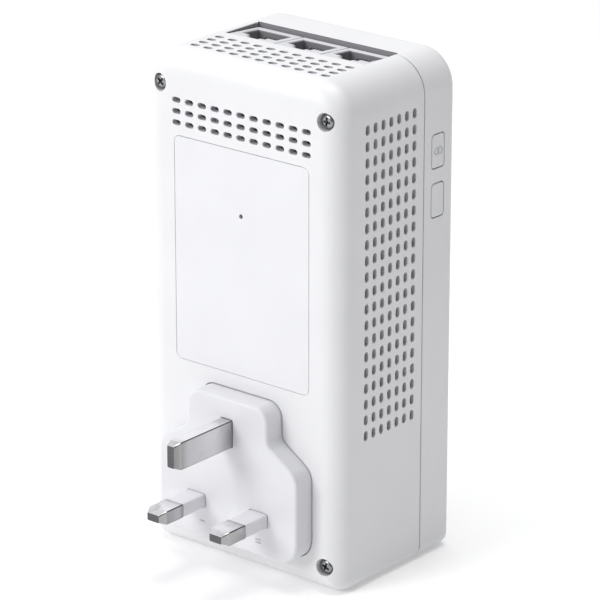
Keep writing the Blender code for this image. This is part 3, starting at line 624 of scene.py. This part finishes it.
def cut_vents(shell):
    """Rows on the rear face and the top, and a tall block on each side."""
    cut = bmesh.new()
    for column in range(-5, 6):
        x = column * VENT_PITCH
        for row in range(3):
            vent(cut, x, VENT_TOP_Z - row * VENT_ROW_PITCH, "Y", REAR_FACE, 1, True)
        for row in range(4):
            vent(cut, x, TOP_VENT_FAR_Y - row * VENT_DEPTH_PITCH, "Z", TOP, -1, True)
    for column in range(7):
        y = SIDE_VENT_NEAR_Y + column * VENT_DEPTH_PITCH
        for row in range(20):
            z = VENT_TOP_Z - row * VENT_PITCH
            vent(cut, y, z, "X", HALF_WIDTH, -1, False)
            vent(cut, y, z, "X", -HALF_WIDTH, 1, False)
    combine(shell, "DIFFERENCE", cut)


def depth_inside(point, face_depth, edge):
    """Depth of a point below the outer skin, from its depth below the flat face."""
    radius = TOP_CORNER_RADIUS if point.z > (TOP + BOTTOM) / 2 else BOTTOM_CORNER_RADIUS
    across = abs(point.x) - (HALF_WIDTH - radius)
    up = abs(point.z - (TOP + BOTTOM) / 2) - ((TOP - BOTTOM) / 2 - radius)
    beyond = math.hypot(max(across, 0.0), max(up, 0.0)) + min(max(across, up), 0.0)
    from_side = radius - beyond
    if from_side < edge and face_depth < edge:
        return edge - math.hypot(edge - from_side, edge - face_depth)
    return min(from_side, face_depth)


def shade_rear_shell(shell):
    """The vents' walls and the hollow take a painted-shade inner grey, the jack recess a darker
    painted-shade grey.
    """
    shell.data.materials.append(INSIDE_PAINTED_SHADE)
    shell.data.materials.append(RECESS_PAINTED_SHADE)
    for face in shell.data.polygons:
        centre = face.center / MM
        beside_label = (abs(centre.x) < label_high.x + 0.6
                        and abs(centre.z - LABEL_MIDDLE) < LABEL_HALF_HEIGHT + 0.6)
        skin = 0.7 if beside_label else 0.22
        if depth_inside(centre, centre.y - REAR_FACE, REAR_EDGE_RADIUS) < skin:
            continue
        in_recess = centre.y > 27.0 and centre.z > TOP - 3.0 and abs(centre.x) < 25.0
        face.material_index = 2 if in_recess else 1


def shade_front_shell(shell):
    """The hollow and the buttons' gaps take a painted-shade inner grey, the jack recess a darker
    painted-shade grey.
    """
    shell.data.materials.append(INSIDE_PAINTED_SHADE)
    shell.data.materials.append(RECESS_PAINTED_SHADE)
    for face in shell.data.polygons:
        centre = face.center / MM
        depth = depth_inside(centre, FRONT_FACE - centre.y, FRONT_EDGE_RADIUS)
        in_recess = (centre.y < JACK_RECESS_FAR_Y + 0.1 and centre.z > TOP - 9
                     and abs(centre.x) < JACK_RECESS_HALF_WIDTH + 0.1)
        if in_recess:
            face.material_index = 2
        elif depth > 0.25:
            face.material_index = 1


def make_rear_shell():
    """The deep half: screw bosses, then the plug's opening, label recess, vents and jack recess."""
    bm = bmesh.new()
    rings = edge_rings(REAR_FACE, REAR_EDGE_RADIUS, 0.0, 1)
    rings += seam_rings(SEAM, -1)
    rings.append(housing_ring(SEAM, WALL))
    rings += edge_rings(REAR_FACE + WALL, REAR_EDGE_RADIUS - WALL, WALL, 1)[::-1]
    loft(bm, rings)
    shell = plain_object("rear_shell_fine", bm)

    added = bmesh.new()
    for axis in SCREW_AXES:
        prism(added, circle(axis, REAR_BOSS_RADIUS), "Y", *REAR_BOSS_Y)
    combine(shell, "UNION", added)

    cut = bmesh.new()
    bore = SCREW_HEAD_BORE_RADIUS
    counterbore = [(bore + 0.6, REAR_FACE - 1.5), (bore + 0.2, REAR_FACE + 0.12),
                   (bore, REAR_FACE + 0.5), (bore, SCREW_SEAT_Y),
                   (SHANK_HOLE_RADIUS, SCREW_SEAT_Y), (SHANK_HOLE_RADIUS, REAR_BOSS_Y[1] + 1)]
    for axis in SCREW_AXES:
        turned(cut, axis, counterbore)
    flared_hole(cut, lambda extra: fillet(grow(PLUG_CORNERS, 0.22 + extra)), "Y",
                REAR_FACE, 1, WALL + 1.0)
    combine(shell, "DIFFERENCE", cut)

    recess = bmesh.new()
    flared_hole(recess, label_recess_outline, "Y", REAR_FACE, 1, LABEL_RECESS_DEPTH)
    combine(shell, "DIFFERENCE", recess)

    cut_vents(shell)

    mouth = bmesh.new()
    flared_hole(mouth, jack_recess_outline, "Z", TOP, -1, WALL + 2.0)
    prism(mouth, circle(LABEL_HOLE_AXIS, 0.6), "Y", REAR_FACE + 0.2, REAR_FACE + WALL + 1)
    combine(shell, "DIFFERENCE", mouth)
    finish_piece(shell, SHELL, "housing", ["rear_shell"])
    shade_rear_shell(shell)


def label_recess_outline(extra):
    grown = LABEL_CLEARANCE + extra
    return rounded_box(label_high.x + grown, LABEL_HALF_HEIGHT + grown, 2.0 + extra,
                       (0.0, LABEL_MIDDLE))


def jack_recess_outline(extra):
    """The rear shell's part of the recess, open towards the seam."""
    side = JACK_RECESS_HALF_WIDTH + extra
    near = node_box("ethernet_jack_1")[0].y - 0.2 - extra
    return [(-side, near), (side, near), (side, SEAM + 2), (-side, SEAM + 2)]


def button_boxes():
    return {name: node_box(name) for name in ("pair_button", "reset_button")}


def make_front_shell():
    """The shallow half: lip, bosses, and openings for buttons, jacks, socket and light pipes."""
    back = SEAM + GAP
    bm = bmesh.new()
    rings = edge_rings(FRONT_FACE, FRONT_EDGE_RADIUS, 0.0, -1)
    rings += seam_rings(back, 1)
    rings.append(housing_ring(back, LIP_OUTSIDE))
    rings.append(housing_ring(back - LIP_HEIGHT, LIP_OUTSIDE))
    rings.append(housing_ring(back - LIP_HEIGHT, LIP_INSIDE))
    rings.append(housing_ring(FRONT_FACE - WALL, LIP_INSIDE))
    loft(bm, rings)
    shell = plain_object("front_shell_fine", bm)

    board_far_y = node_box("logic_board")[1].y
    added = bmesh.new()
    for axis in SCREW_AXES:
        prism(added, circle(axis, FRONT_BOSS_RADIUS), "Y", FRONT_BOSS_START_Y, FRONT_FACE - 1)
    for axis in BOARD_BOSS_AXES:
        prism(added, circle(axis, BOARD_BOSS_RADIUS), "Y", board_far_y + GAP, FRONT_FACE - 1)
    combine(shell, "UNION", added)

    cut = bmesh.new()
    for axis in SCREW_AXES:
        prism(cut, circle(axis, THREAD_BORE_RADIUS), "Y", *THREAD_BORE_Y)
    for axis in BOARD_BOSS_AXES:
        prism(cut, circle(axis, BOARD_BORE_RADIUS), "Y", board_far_y - 1,
              board_far_y + BOARD_BORE_DEPTH)
    for low, high in button_boxes().values():
        centre = (BUTTON_Y, (low.z + high.z) / 2)

        def outline(extra, centre=centre):
            grown = BUTTON_GAP + extra
            return rounded_box(BUTTON_HALF_Y + grown, BUTTON_HALF_Z + grown,
                               BUTTON_CORNER_RADIUS + grown, centre)
        flared_hole(cut, outline, "X", HALF_WIDTH, -1, 4.5, 0.7)
    box(cut, (-JACK_RECESS_HALF_WIDTH, back - 4, TOP - 8),
        (JACK_RECESS_HALF_WIDTH, JACK_RECESS_FAR_Y, TOP + 1))
    for x, z, half_x, half_z in SOCKET_HOLES:
        flared_hole(cut, lambda extra, x=x, z=z, hx=half_x, hz=half_z:
                    rounded_box(hx + extra, hz + extra, 0.5 + extra, (x, z), 4),
                    "Y", FRONT_FACE, -1, WALL + 1.0, 1.6)
    for index in range(1, 4):
        low, high = node_box(f"light_pipe_{index}")
        centre = centre_across(low, high)
        radius = (high.x - low.x) / 2 + 0.1
        flared_hole(cut, lambda extra, centre=centre, radius=radius: circle(centre, radius + extra),
                    "Y", FRONT_FACE, -1, WALL + 1.0, 0.7)
    combine(shell, "DIFFERENCE", cut)
    finish_piece(shell, SHELL, "housing", ["front_shell"])
    shade_front_shell(shell)


def make_label():
    """The blank rating label, with one small hole."""
    bm = bmesh.new()
    rings = []
    for shrink, y in ((0.0, label_high.y), (0.0, label_low.y + 0.06), (0.06, label_low.y)):
        outline = rounded_box(label_high.x - shrink, LABEL_HALF_HEIGHT - shrink,
                              LABEL_CORNER_RADIUS - shrink, (0.0, LABEL_MIDDLE))
        rings.append([place(p, y, "Y") for p in outline])
    loft(bm, rings)
    label = plain_object("rating_label_fine", bm)
    hole = bmesh.new()
    prism(hole, circle(LABEL_HOLE_AXIS, 0.65), "Y", label_low.y - 1, label_high.y + 1)
    combine(label, "DIFFERENCE", hole)
    finish_piece(label, LABEL, "housing", ["rating_label"])


def make_screws():
    """Pan heads with a cross recess that tapers to its floor."""
    for index in range(1, 5):
        low, high = node_box(f"housing_screw_{index}")
        x, z = centre_across(low, high)
        head = (high.x - low.x) / 2 - 0.1
        top = low.y + 0.25
        shape = [(0.9, top), (head - 0.7, top + 0.06), (head - 0.2, top + 0.28), (head, top + 0.65),
                 (head, low.y + 1.8), (1.05, low.y + 1.8), (1.05, high.y - 0.8), (0.4, high.y)]
        bm = bmesh.new()
        turned(bm, (x, z), shape)
        screw = plain_object(f"housing_screw_fine_{index}", bm)
        cross = bmesh.new()
        rings = []
        for scale, y in ((1.25, top - 0.4), (1.0, top + 0.1), (0.45, top + 1.2)):
            arm, slot = head * 0.62 * scale, head * 0.17 * (0.6 + 0.4 * scale)
            outline = ((-arm, -slot), (-slot, -slot), (-slot, -arm), (slot, -arm), (slot, -slot),
                       (arm, -slot), (arm, slot), (slot, slot), (slot, arm), (-slot, arm),
                       (-slot, slot), (-arm, slot))
            turn = Matrix.Rotation(math.radians(12 + 37 * index), 2)
            points = [turn @ Vector(p) for p in outline]
            rings.append([Vector((x + p.x, y, z + p.y)) for p in points])
        loft(cross, rings)
        combine(screw, "DIFFERENCE", cross)
        finish_piece(screw, SCREW, "housing", [f"housing_screw_{index}"])


# Plug --------------------------------------------------------------------------------------

def make_plug_base():
    """A bell-shaped body with a rounded face edge and a flange behind the shell's wall."""
    low, high = node_box("plug_base")
    bm = bmesh.new()
    sections = []
    edge_radius = 0.9
    flange = 1.2
    for step in range(7):
        angle = math.pi / 2 * step / 6
        sections.append((-edge_radius * (1 - math.sin(angle)),
                         low.y + edge_radius * (1 - math.cos(angle))))
    behind_wall = REAR_FACE + WALL + GAP
    sections += [(0.0, behind_wall), (flange, behind_wall), (flange, high.y)]
    loft(bm, [[place(p, y, "Y") for p in fillet(grow(PLUG_CORNERS, amount), 10)]
              for amount, y in sections])
    base = plain_object("plug_base_fine", bm)
    cut = bmesh.new()
    for name in ("line_pin", "neutral_pin", "earth_pin"):
        pin_low, pin_high = node_box(name)
        centre = centre_across(pin_low, pin_high)
        half_x = (pin_high.x - pin_low.x) / 2 + 0.08
        half_z = (pin_high.z - pin_low.z) / 2 + 0.08
        flared_hole(cut, lambda extra, c=centre, hx=half_x, hz=half_z:
                    rounded_box(hx + extra, hz + extra, 0.45 + extra, c, 4), "Y", low.y, 1, 14.0, 0.8)
    combine(base, "DIFFERENCE", cut)
    finish_piece(base, PLUG, "housing", ["plug_base"])


def make_pin(name, finish, painted_highlight_finish, tip_inset, body_sections):
    """A bevelled tip, then the (inset, y) sections that follow, up to the inner end.

    The first finish covers the sides with painted shade, the second the rolled top and underside with
    a painted highlight; the flat end and corner faces take a painted dark reflection.
    """
    low, high = node_box(name)
    centre = centre_across(low, high)
    half_x = (high.x - low.x) / 2
    half_z = (high.z - low.z) / 2
    inset_x, inset_z = tip_inset
    # Share of the tip's inset, and the distance back from the end
    tip = [(1.06, 0.0), (1.0, 0.05), (0.92, 0.16), (0.12, 1.75), (0.04, 1.95), (0.0, 2.25)]
    sections = [(inset_x * share, inset_z * share, low.y + back) for share, back in tip]
    sections += [(inset, inset, y) for inset, y in body_sections]
    sections.append((body_sections[-1][0], body_sections[-1][0], high.y))
    bm = bmesh.new()
    loft(bm, [[place(p, y, "Y") for p in rounded_box(half_x - a, half_z - b, 0.4, centre, 5)]
              for a, b, y in sections])
    pin = make_piece(name + "_fine", bm, finish, "housing", [name])
    pin.data.materials.append(PIN_END_PAINTED_REFLECTION)
    pin.data.materials.append(painted_highlight_finish)
    # Painted reflection and highlight by facing: flat end faces and corner faces, except the side
    # bevels, take the dark end metal; faces that point up or down take the lighter top copy.
    for face in pin.data.polygons:
        normal = face.normal
        end = normal.y < -0.99
        edge = abs(normal.x) > 0.2 and abs(normal.z) > 0.2
        side_bevel = normal.y < -0.15 and abs(normal.x) > 0.3
        if end or edge and not side_bevel:
            face.material_index = 1
        elif abs(normal.z) > 0.5:
            face.material_index = 2


def make_sleeve(name):
    """An insulating sleeve round the root of a live pin."""
    low, high = node_box(name)
    centre = centre_across(low, high)
    half_x = (high.x - low.x) / 2
    half_z = (high.z - low.z) / 2
    bm = bmesh.new()
    rings = []
    for shrink, y in ((0.25, low.y), (0.08, low.y + 0.06), (0.0, low.y + 0.22), (0.0, high.y)):
        rings.append([place(p, y, "Y") for p in
                      rounded_box(half_x - shrink, half_z - shrink, 0.5 - shrink * 0.5, centre, 5)])
    loft(bm, rings)
    sleeve = plain_object(name + "_fine", bm)
    bore = bmesh.new()
    prism(bore, rounded_box(half_x - 0.9, half_z - 0.9, 0.3, centre, 3), "Y", low.y - 1, high.y + 1)
    combine(sleeve, "DIFFERENCE", bore)
    finish_piece(sleeve, SLEEVE, "housing", [name])


def make_plug():
    make_plug_base()
    make_pin("earth_pin", EARTH_PIN_PAINTED_SIDE_SHADE, EARTH_PIN_PAINTED_TOP_HIGHLIGHT, (0.76, 0.8), [(0.0, 0.0)])
    for name in ("line_pin", "neutral_pin"):
        sleeve_low, _ = node_box(name + "_sleeve")
        shoulder_y = sleeve_low.y - 0.04
        body = [(0.0, shoulder_y - 0.08), (0.08, shoulder_y), (1.0, shoulder_y)]
        make_pin(name, LIVE_PIN_PAINTED_SIDE_SHADE, LIVE_PIN_PAINTED_TOP_HIGHLIGHT, (1.05, 0.85), body)
        make_sleeve(name + "_sleeve")
    make_pin_marks()


def make_pin_marks():
    """Plain raised bars below the pins: one for the line side, two for the neutral side."""
    first_z, pitch, half_long, half_short = -6.1, 0.9, 0.95, 0.17
    for name, x, count in (("line_mark", -9.0, 1), ("neutral_mark", 11.0, 2)):
        bm = bmesh.new()
        for index in range(count):
            centre = (x, first_z - pitch * index)
            prism(bm, stadium(centre, half_long, half_short), "Y", -0.1, 0.15)
        make_piece(name, bm, MARK, "housing")


# Network jacks -----------------------------------------------------------------------------

def cavity_outline(x, extra=0.0):
    """The standard mouth: plug body with a stepped latch channel towards the near side."""
    half, channel, notch = (half_width + extra for half_width in CAVITY_HALF_WIDTHS)
    far = CAVITY_FAR_Y + extra
    near = CAVITY_FAR_Y - CAVITY_LENGTH - extra
    step = near - LATCH_CHANNEL_LENGTH
    end = step - LATCH_NOTCH_LENGTH
    right = [(notch, end), (notch, step), (channel, step), (channel, near), (half, near), (half, far)]
    left = [(-a, y) for a, y in reversed(right)]
    return [(x + a, y) for a, y in left + right]


def jack_top(y, low, high):
    """Height of the jack's top face, which falls by 1 mm from the near edge to the far one."""
    return high.z - (y - low.y) / (high.y - low.y)


def make_jack(index):
    """A jack body with its stepped mouth, and its contacts."""
    node = f"ethernet_jack_{index}"
    low, high = node_box(node)
    x = (low.x + high.x) / 2
    half_x = (high.x - low.x) / 2
    half_y = (high.y - low.y) / 2
    middle = (x, (low.y + high.y) / 2)
    bevel = 0.3
    bm = bmesh.new()
    rings = []
    for shrink, drop in ((bevel, 0.0), (bevel * 0.3, bevel * 0.3), (0.0, bevel)):
        outline = rounded_box(half_x - shrink, half_y - shrink, 0.4, middle, 3)
        rings.append([Vector((a, b, jack_top(b, low, high) - drop)) for a, b in outline])
    rings.append([Vector((a, b, low.z)) for a, b in rounded_box(half_x, half_y, 0.4, middle, 3)])
    loft(bm, rings)
    jack = plain_object(node + "_fine", bm)
    cut = bmesh.new()
    rings = []
    for extra, rise in ((0.75, 0.4), (0.35, 0.0), (0.12, -0.25), (0.0, -0.6)):
        rings.append([Vector((a, b, jack_top(b, low, high) + rise))
                      for a, b in cavity_outline(x, extra)])
    rings.append([Vector((a, b, high.z - CAVITY_DEPTH)) for a, b in cavity_outline(x)])
    loft(cut, rings)
    combine(jack, "DIFFERENCE", cut)
    finish_piece(jack, JACK, "housing", [node])
    # Painted shade: faces inside the cavity, below the top face and within the outline, take a dark
    # grey.
    jack.data.materials.append(JACK_CAVITY_PAINTED_SHADE)
    for face in jack.data.polygons:
        centre = face.center / MM
        on_top = centre.z > jack_top(centre.y, low, high) - 0.4
        outside = max(abs(centre.x - x) - half_x, abs(centre.y - middle[1]) - half_y) > -0.4
        if not (on_top or outside):
            face.material_index = 1
    make_jack_contacts(index, x)


def make_jack_contacts(index, x):
    """Eight sprung gold wires that lean out of the far wall, and the comb between them."""
    node = f"ethernet_contacts_{index}"
    low, high = node_box(node)
    wire = bmesh.new()
    comb = bmesh.new()
    for finger in range(8):
        a = x + (finger - 3.5) * CONTACT_PITCH
        path = [(high.y, low.z + 9.0), (high.y - 0.3, low.z + 9.4), (high.y - 1.1, low.z + 8.6),
                (high.y - 3.6, low.z + 3.4), (high.y - 3.8, low.z + 2.7), (high.y - 3.5, low.z + 2.2),
                (high.y, low.z + 0.4)]
        rings = []
        for i, (y, z) in enumerate(path):
            before = Vector(path[max(i - 1, 0)])
            after = Vector(path[min(i + 1, len(path) - 1)])
            along = (after - before).normalized()
            across = Vector((-along.y, along.x))
            ring = []
            for corner_a, corner_b in ((-1, -1), (1, -1), (1, 1), (-1, 1)):
                p = Vector((y, z)) + across * 0.12 * corner_b
                ring.append(Vector((a + 0.17 * corner_a, p.x, p.y)))
            rings.append(ring)
        loft(wire, rings)
        if finger < 7:
            b = a + CONTACT_PITCH / 2
            box(comb, (b - 0.14, high.y - 1.0, high.z - 0.6),
                (b + 0.14, high.y + GAP + 0.1, high.z + 2.6))
    make_piece(node + "_fine", wire, GOLD, "housing", [node], 50, False)
    # Painted shade: the comb takes the cavity's dark grey.
    make_piece(f"ethernet_comb_{index}", comb, JACK_CAVITY_PAINTED_SHADE, "housing")


# Buttons -----------------------------------------------------------------------------------

def make_buttons():
    """Each button: a stem, a flange that holds it behind the wall, and the cap."""
    for name, (low, high) in button_boxes().items():
        centre_z = (low.z + high.z) / 2
        face = high.x
        stem_end = low.x + 1.3
        flange_end = low.x + 2.65
        flange = (BUTTON_HALF_Y + 0.7, BUTTON_HALF_Z + 0.65, 1.2)
        sections = [(1.2, 1.2, 0.5, low.x), (1.2, 1.2, 0.5, stem_end),
                    (*flange, stem_end), (*flange, flange_end),
                    (BUTTON_HALF_Y, BUTTON_HALF_Z, BUTTON_CORNER_RADIUS, flange_end)]
        edge = 0.3
        for step in range(6):
            angle = math.pi / 2 * step / 5
            shrink = edge * (1 - math.cos(angle))
            sections.append((BUTTON_HALF_Y - shrink, BUTTON_HALF_Z - shrink,
                             BUTTON_CORNER_RADIUS - shrink, face - edge + edge * math.sin(angle)))
        bm = bmesh.new()
        loft(bm, [[place(p, x, "X") for p in rounded_box(a, b, r, (BUTTON_Y, centre_z))]
                  for a, b, r, x in sections])
        make_piece(name + "_fine", bm, BUTTON, name, [name])
        if name == "pair_button":
            make_link_mark(face, centre_z)


def make_link_mark(face, centre_z):
    """Two linked rings, raised on the pairing button."""
    bm = bmesh.new()
    for side in (-1, 1):
        ring_torus(bm, Vector((face, BUTTON_Y + side * 0.7, centre_z)), 0.95, 0.14, 0.02 * side)
    make_piece("pair_button_mark", bm, MARK, "pair_button", sharp=60)


def ring_torus(bm, centre, radius, thickness, tilt, around=28, section=8):
    """A ring in the YZ plane, tilted a little so that two can link."""
    grid = []
    for i in range(around):
        turn = 2 * math.pi * i / around
        loop = []
        for j in range(section):
            tube = 2 * math.pi * j / section
            reach = radius + thickness * math.cos(tube)
            outward = thickness * math.sin(tube) + tilt * math.cos(turn)
            offset = Vector((outward, reach * math.cos(turn), reach * math.sin(turn)))
            loop.append(bm.verts.new(centre + offset))
        grid.append(loop)
    for i in range(around):
        for j in range(section):
            a, b = (i + 1) % around, (j + 1) % section
            bm.faces.new((grid[i][j], grid[a][j], grid[a][b], grid[i][b]))


# Socket spring and light pipes ---------------------------------------------------------------

def make_spring():
    """A round-wire compression spring, built at one fixed height; the real one flattens as the
    shutter comes down.
    """
    low, high = node_box("shutter_spring")
    centre = (low + high) / 2
    wire = 0.22
    radius = (high.x - low.x) / 2 - wire
    turns, per_turn, sides = 6, 24, 8
    total = turns * per_turn
    bm = bmesh.new()
    rings = []
    for step in range(total + 1):
        turn = 2 * math.pi * step / per_turn
        share = step / total
        rise = min(max((share - 0.08) / 0.84, 0.0), 1.0)
        outward = Vector((math.cos(turn), math.sin(turn), 0.0))
        middle = Vector((centre.x, centre.y, 0.0)) + outward * radius
        middle.z = low.z + wire + (high.z - low.z - 2 * wire) * rise
        rings.append([middle + wire * (outward * math.cos(2 * math.pi * k / sides)
                                       + Vector((0, 0, 1)) * math.sin(2 * math.pi * k / sides))
                      for k in range(sides)])
    loft(bm, rings)
    spring = make_piece("shutter_spring_fine", bm, SPRING_STEEL, "housing",
                        ["shutter_spring"], 60, False)
    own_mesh(spring)


def make_light_pipes():
    """Clear rods with a domed end that shows in the front face."""
    for index in range(1, 4):
        low, high = node_box(f"light_pipe_{index}")
        radius = (high.x - low.x) / 2
        shape = [(radius, low.y), (radius, high.y - 0.3), (radius - 0.05, high.y - 0.15),
                 (radius - 0.35, high.y - 0.03), (radius * 0.4, high.y)]
        bm = bmesh.new()
        turned(bm, centre_across(low, high), shape)
        make_piece(f"light_pipe_fine_{index}", bm, CLEAR, "housing", [f"light_pipe_{index}"])


# Camera and light --------------------------------------------------------------------------

def aim(thing, position, target):
    thing.location = position
    thing.rotation_euler = (target - position).to_track_quat("-Z", "Y").to_euler()


def make_camera():
    target = Vector((1.23, 29.5, 52.29)) * MM
    azimuth, elevation, distance = math.radians(39.73), math.radians(20.01), 1.017
    back = Vector((math.sin(azimuth) * math.cos(elevation), -math.cos(azimuth) * math.cos(elevation),
                   math.sin(elevation)))
    data = bpy.data.cameras.new("camera")
    data.sensor_width = 36.0
    data.lens = 224.0
    camera = bpy.data.objects.new("camera", data)
    bpy.context.scene.collection.objects.link(camera)
    aim(camera, target + back * distance, target)
    bpy.context.scene.camera = camera


def area_light(name, position, target, size, power):
    data = bpy.data.lights.new(name, "AREA")
    data.shape = "DISK"
    data.size = size
    data.energy = power
    light = bpy.data.objects.new(name, data)
    bpy.context.scene.collection.objects.link(light)
    aim(light, Vector(position), Vector(target))


def make_studio():
    floor_z = cad_bounds[0].z
    bm = bmesh.new()
    half = 3000.0
    below = floor_z / MM - 0.05
    corners = ((-half, -half, below), (half, -half, below), (half, half, below), (-half, half, below))
    bm.faces.new([bm.verts.new(corner) for corner in corners])
    floor = plain_object("floor", bm)
    floor.data.transform(Matrix.Scale(MM, 4))
    paper = Finish("floor_paper", (0.83, 0.83, 0.83), 0.9)
    paper.shader.inputs["Emission Color"].default_value = (1.0, 1.0, 1.0, 1.0)
    paper.shader.inputs["Emission Strength"].default_value = 0.22
    floor.data.materials.append(paper.material)

    make_sky()
    middle = (0.0, 0.025, 0.05)
    area_light("key", (-0.45, -1.2, 0.75), middle, 0.7, 8.7)
    area_light("top", (0.1, 0.1, 1.3), middle, 0.8, 8.3)
    bpy.context.scene.view_settings.view_transform = "Standard"


def make_sky():
    """Room light: bright towards the key light, dimmer on the far side."""
    world = bpy.data.worlds.new("studio")
    world.use_nodes = True
    tree = world.node_tree
    direction = tree.nodes.new("ShaderNodeTexCoord")
    towards = tree.nodes.new("ShaderNodeVectorMath")
    towards.operation = "DOT_PRODUCT"
    towards.inputs[1].default_value = Vector((-0.8, -0.1, 0.6)).normalized()
    ramp = tree.nodes.new("ShaderNodeMapRange")
    ramp.interpolation_type = "SMOOTHSTEP"
    ramp.inputs["From Min"].default_value = -0.6
    ramp.inputs["From Max"].default_value = 0.9
    ramp.inputs["To Min"].default_value = 0.06
    ramp.inputs["To Max"].default_value = 0.75
    tree.links.new(direction.outputs["Generated"], towards.inputs[0])
    tree.links.new(towards.outputs["Value"], ramp.inputs["Value"])
    background = tree.nodes["Background"]
    background.inputs["Color"].default_value = (0.975, 0.98, 1.0, 1.0)
    tree.links.new(ramp.outputs["Result"], background.inputs["Strength"])
    bpy.context.scene.world = world


def main():
    finish_carried_over()
    make_rear_shell()
    make_front_shell()
    make_label()
    make_screws()
    make_plug()
    for index in range(1, 4):
        make_jack(index)
    make_buttons()
    make_spring()
    make_light_pipes()
    make_camera()
    make_studio()


main()
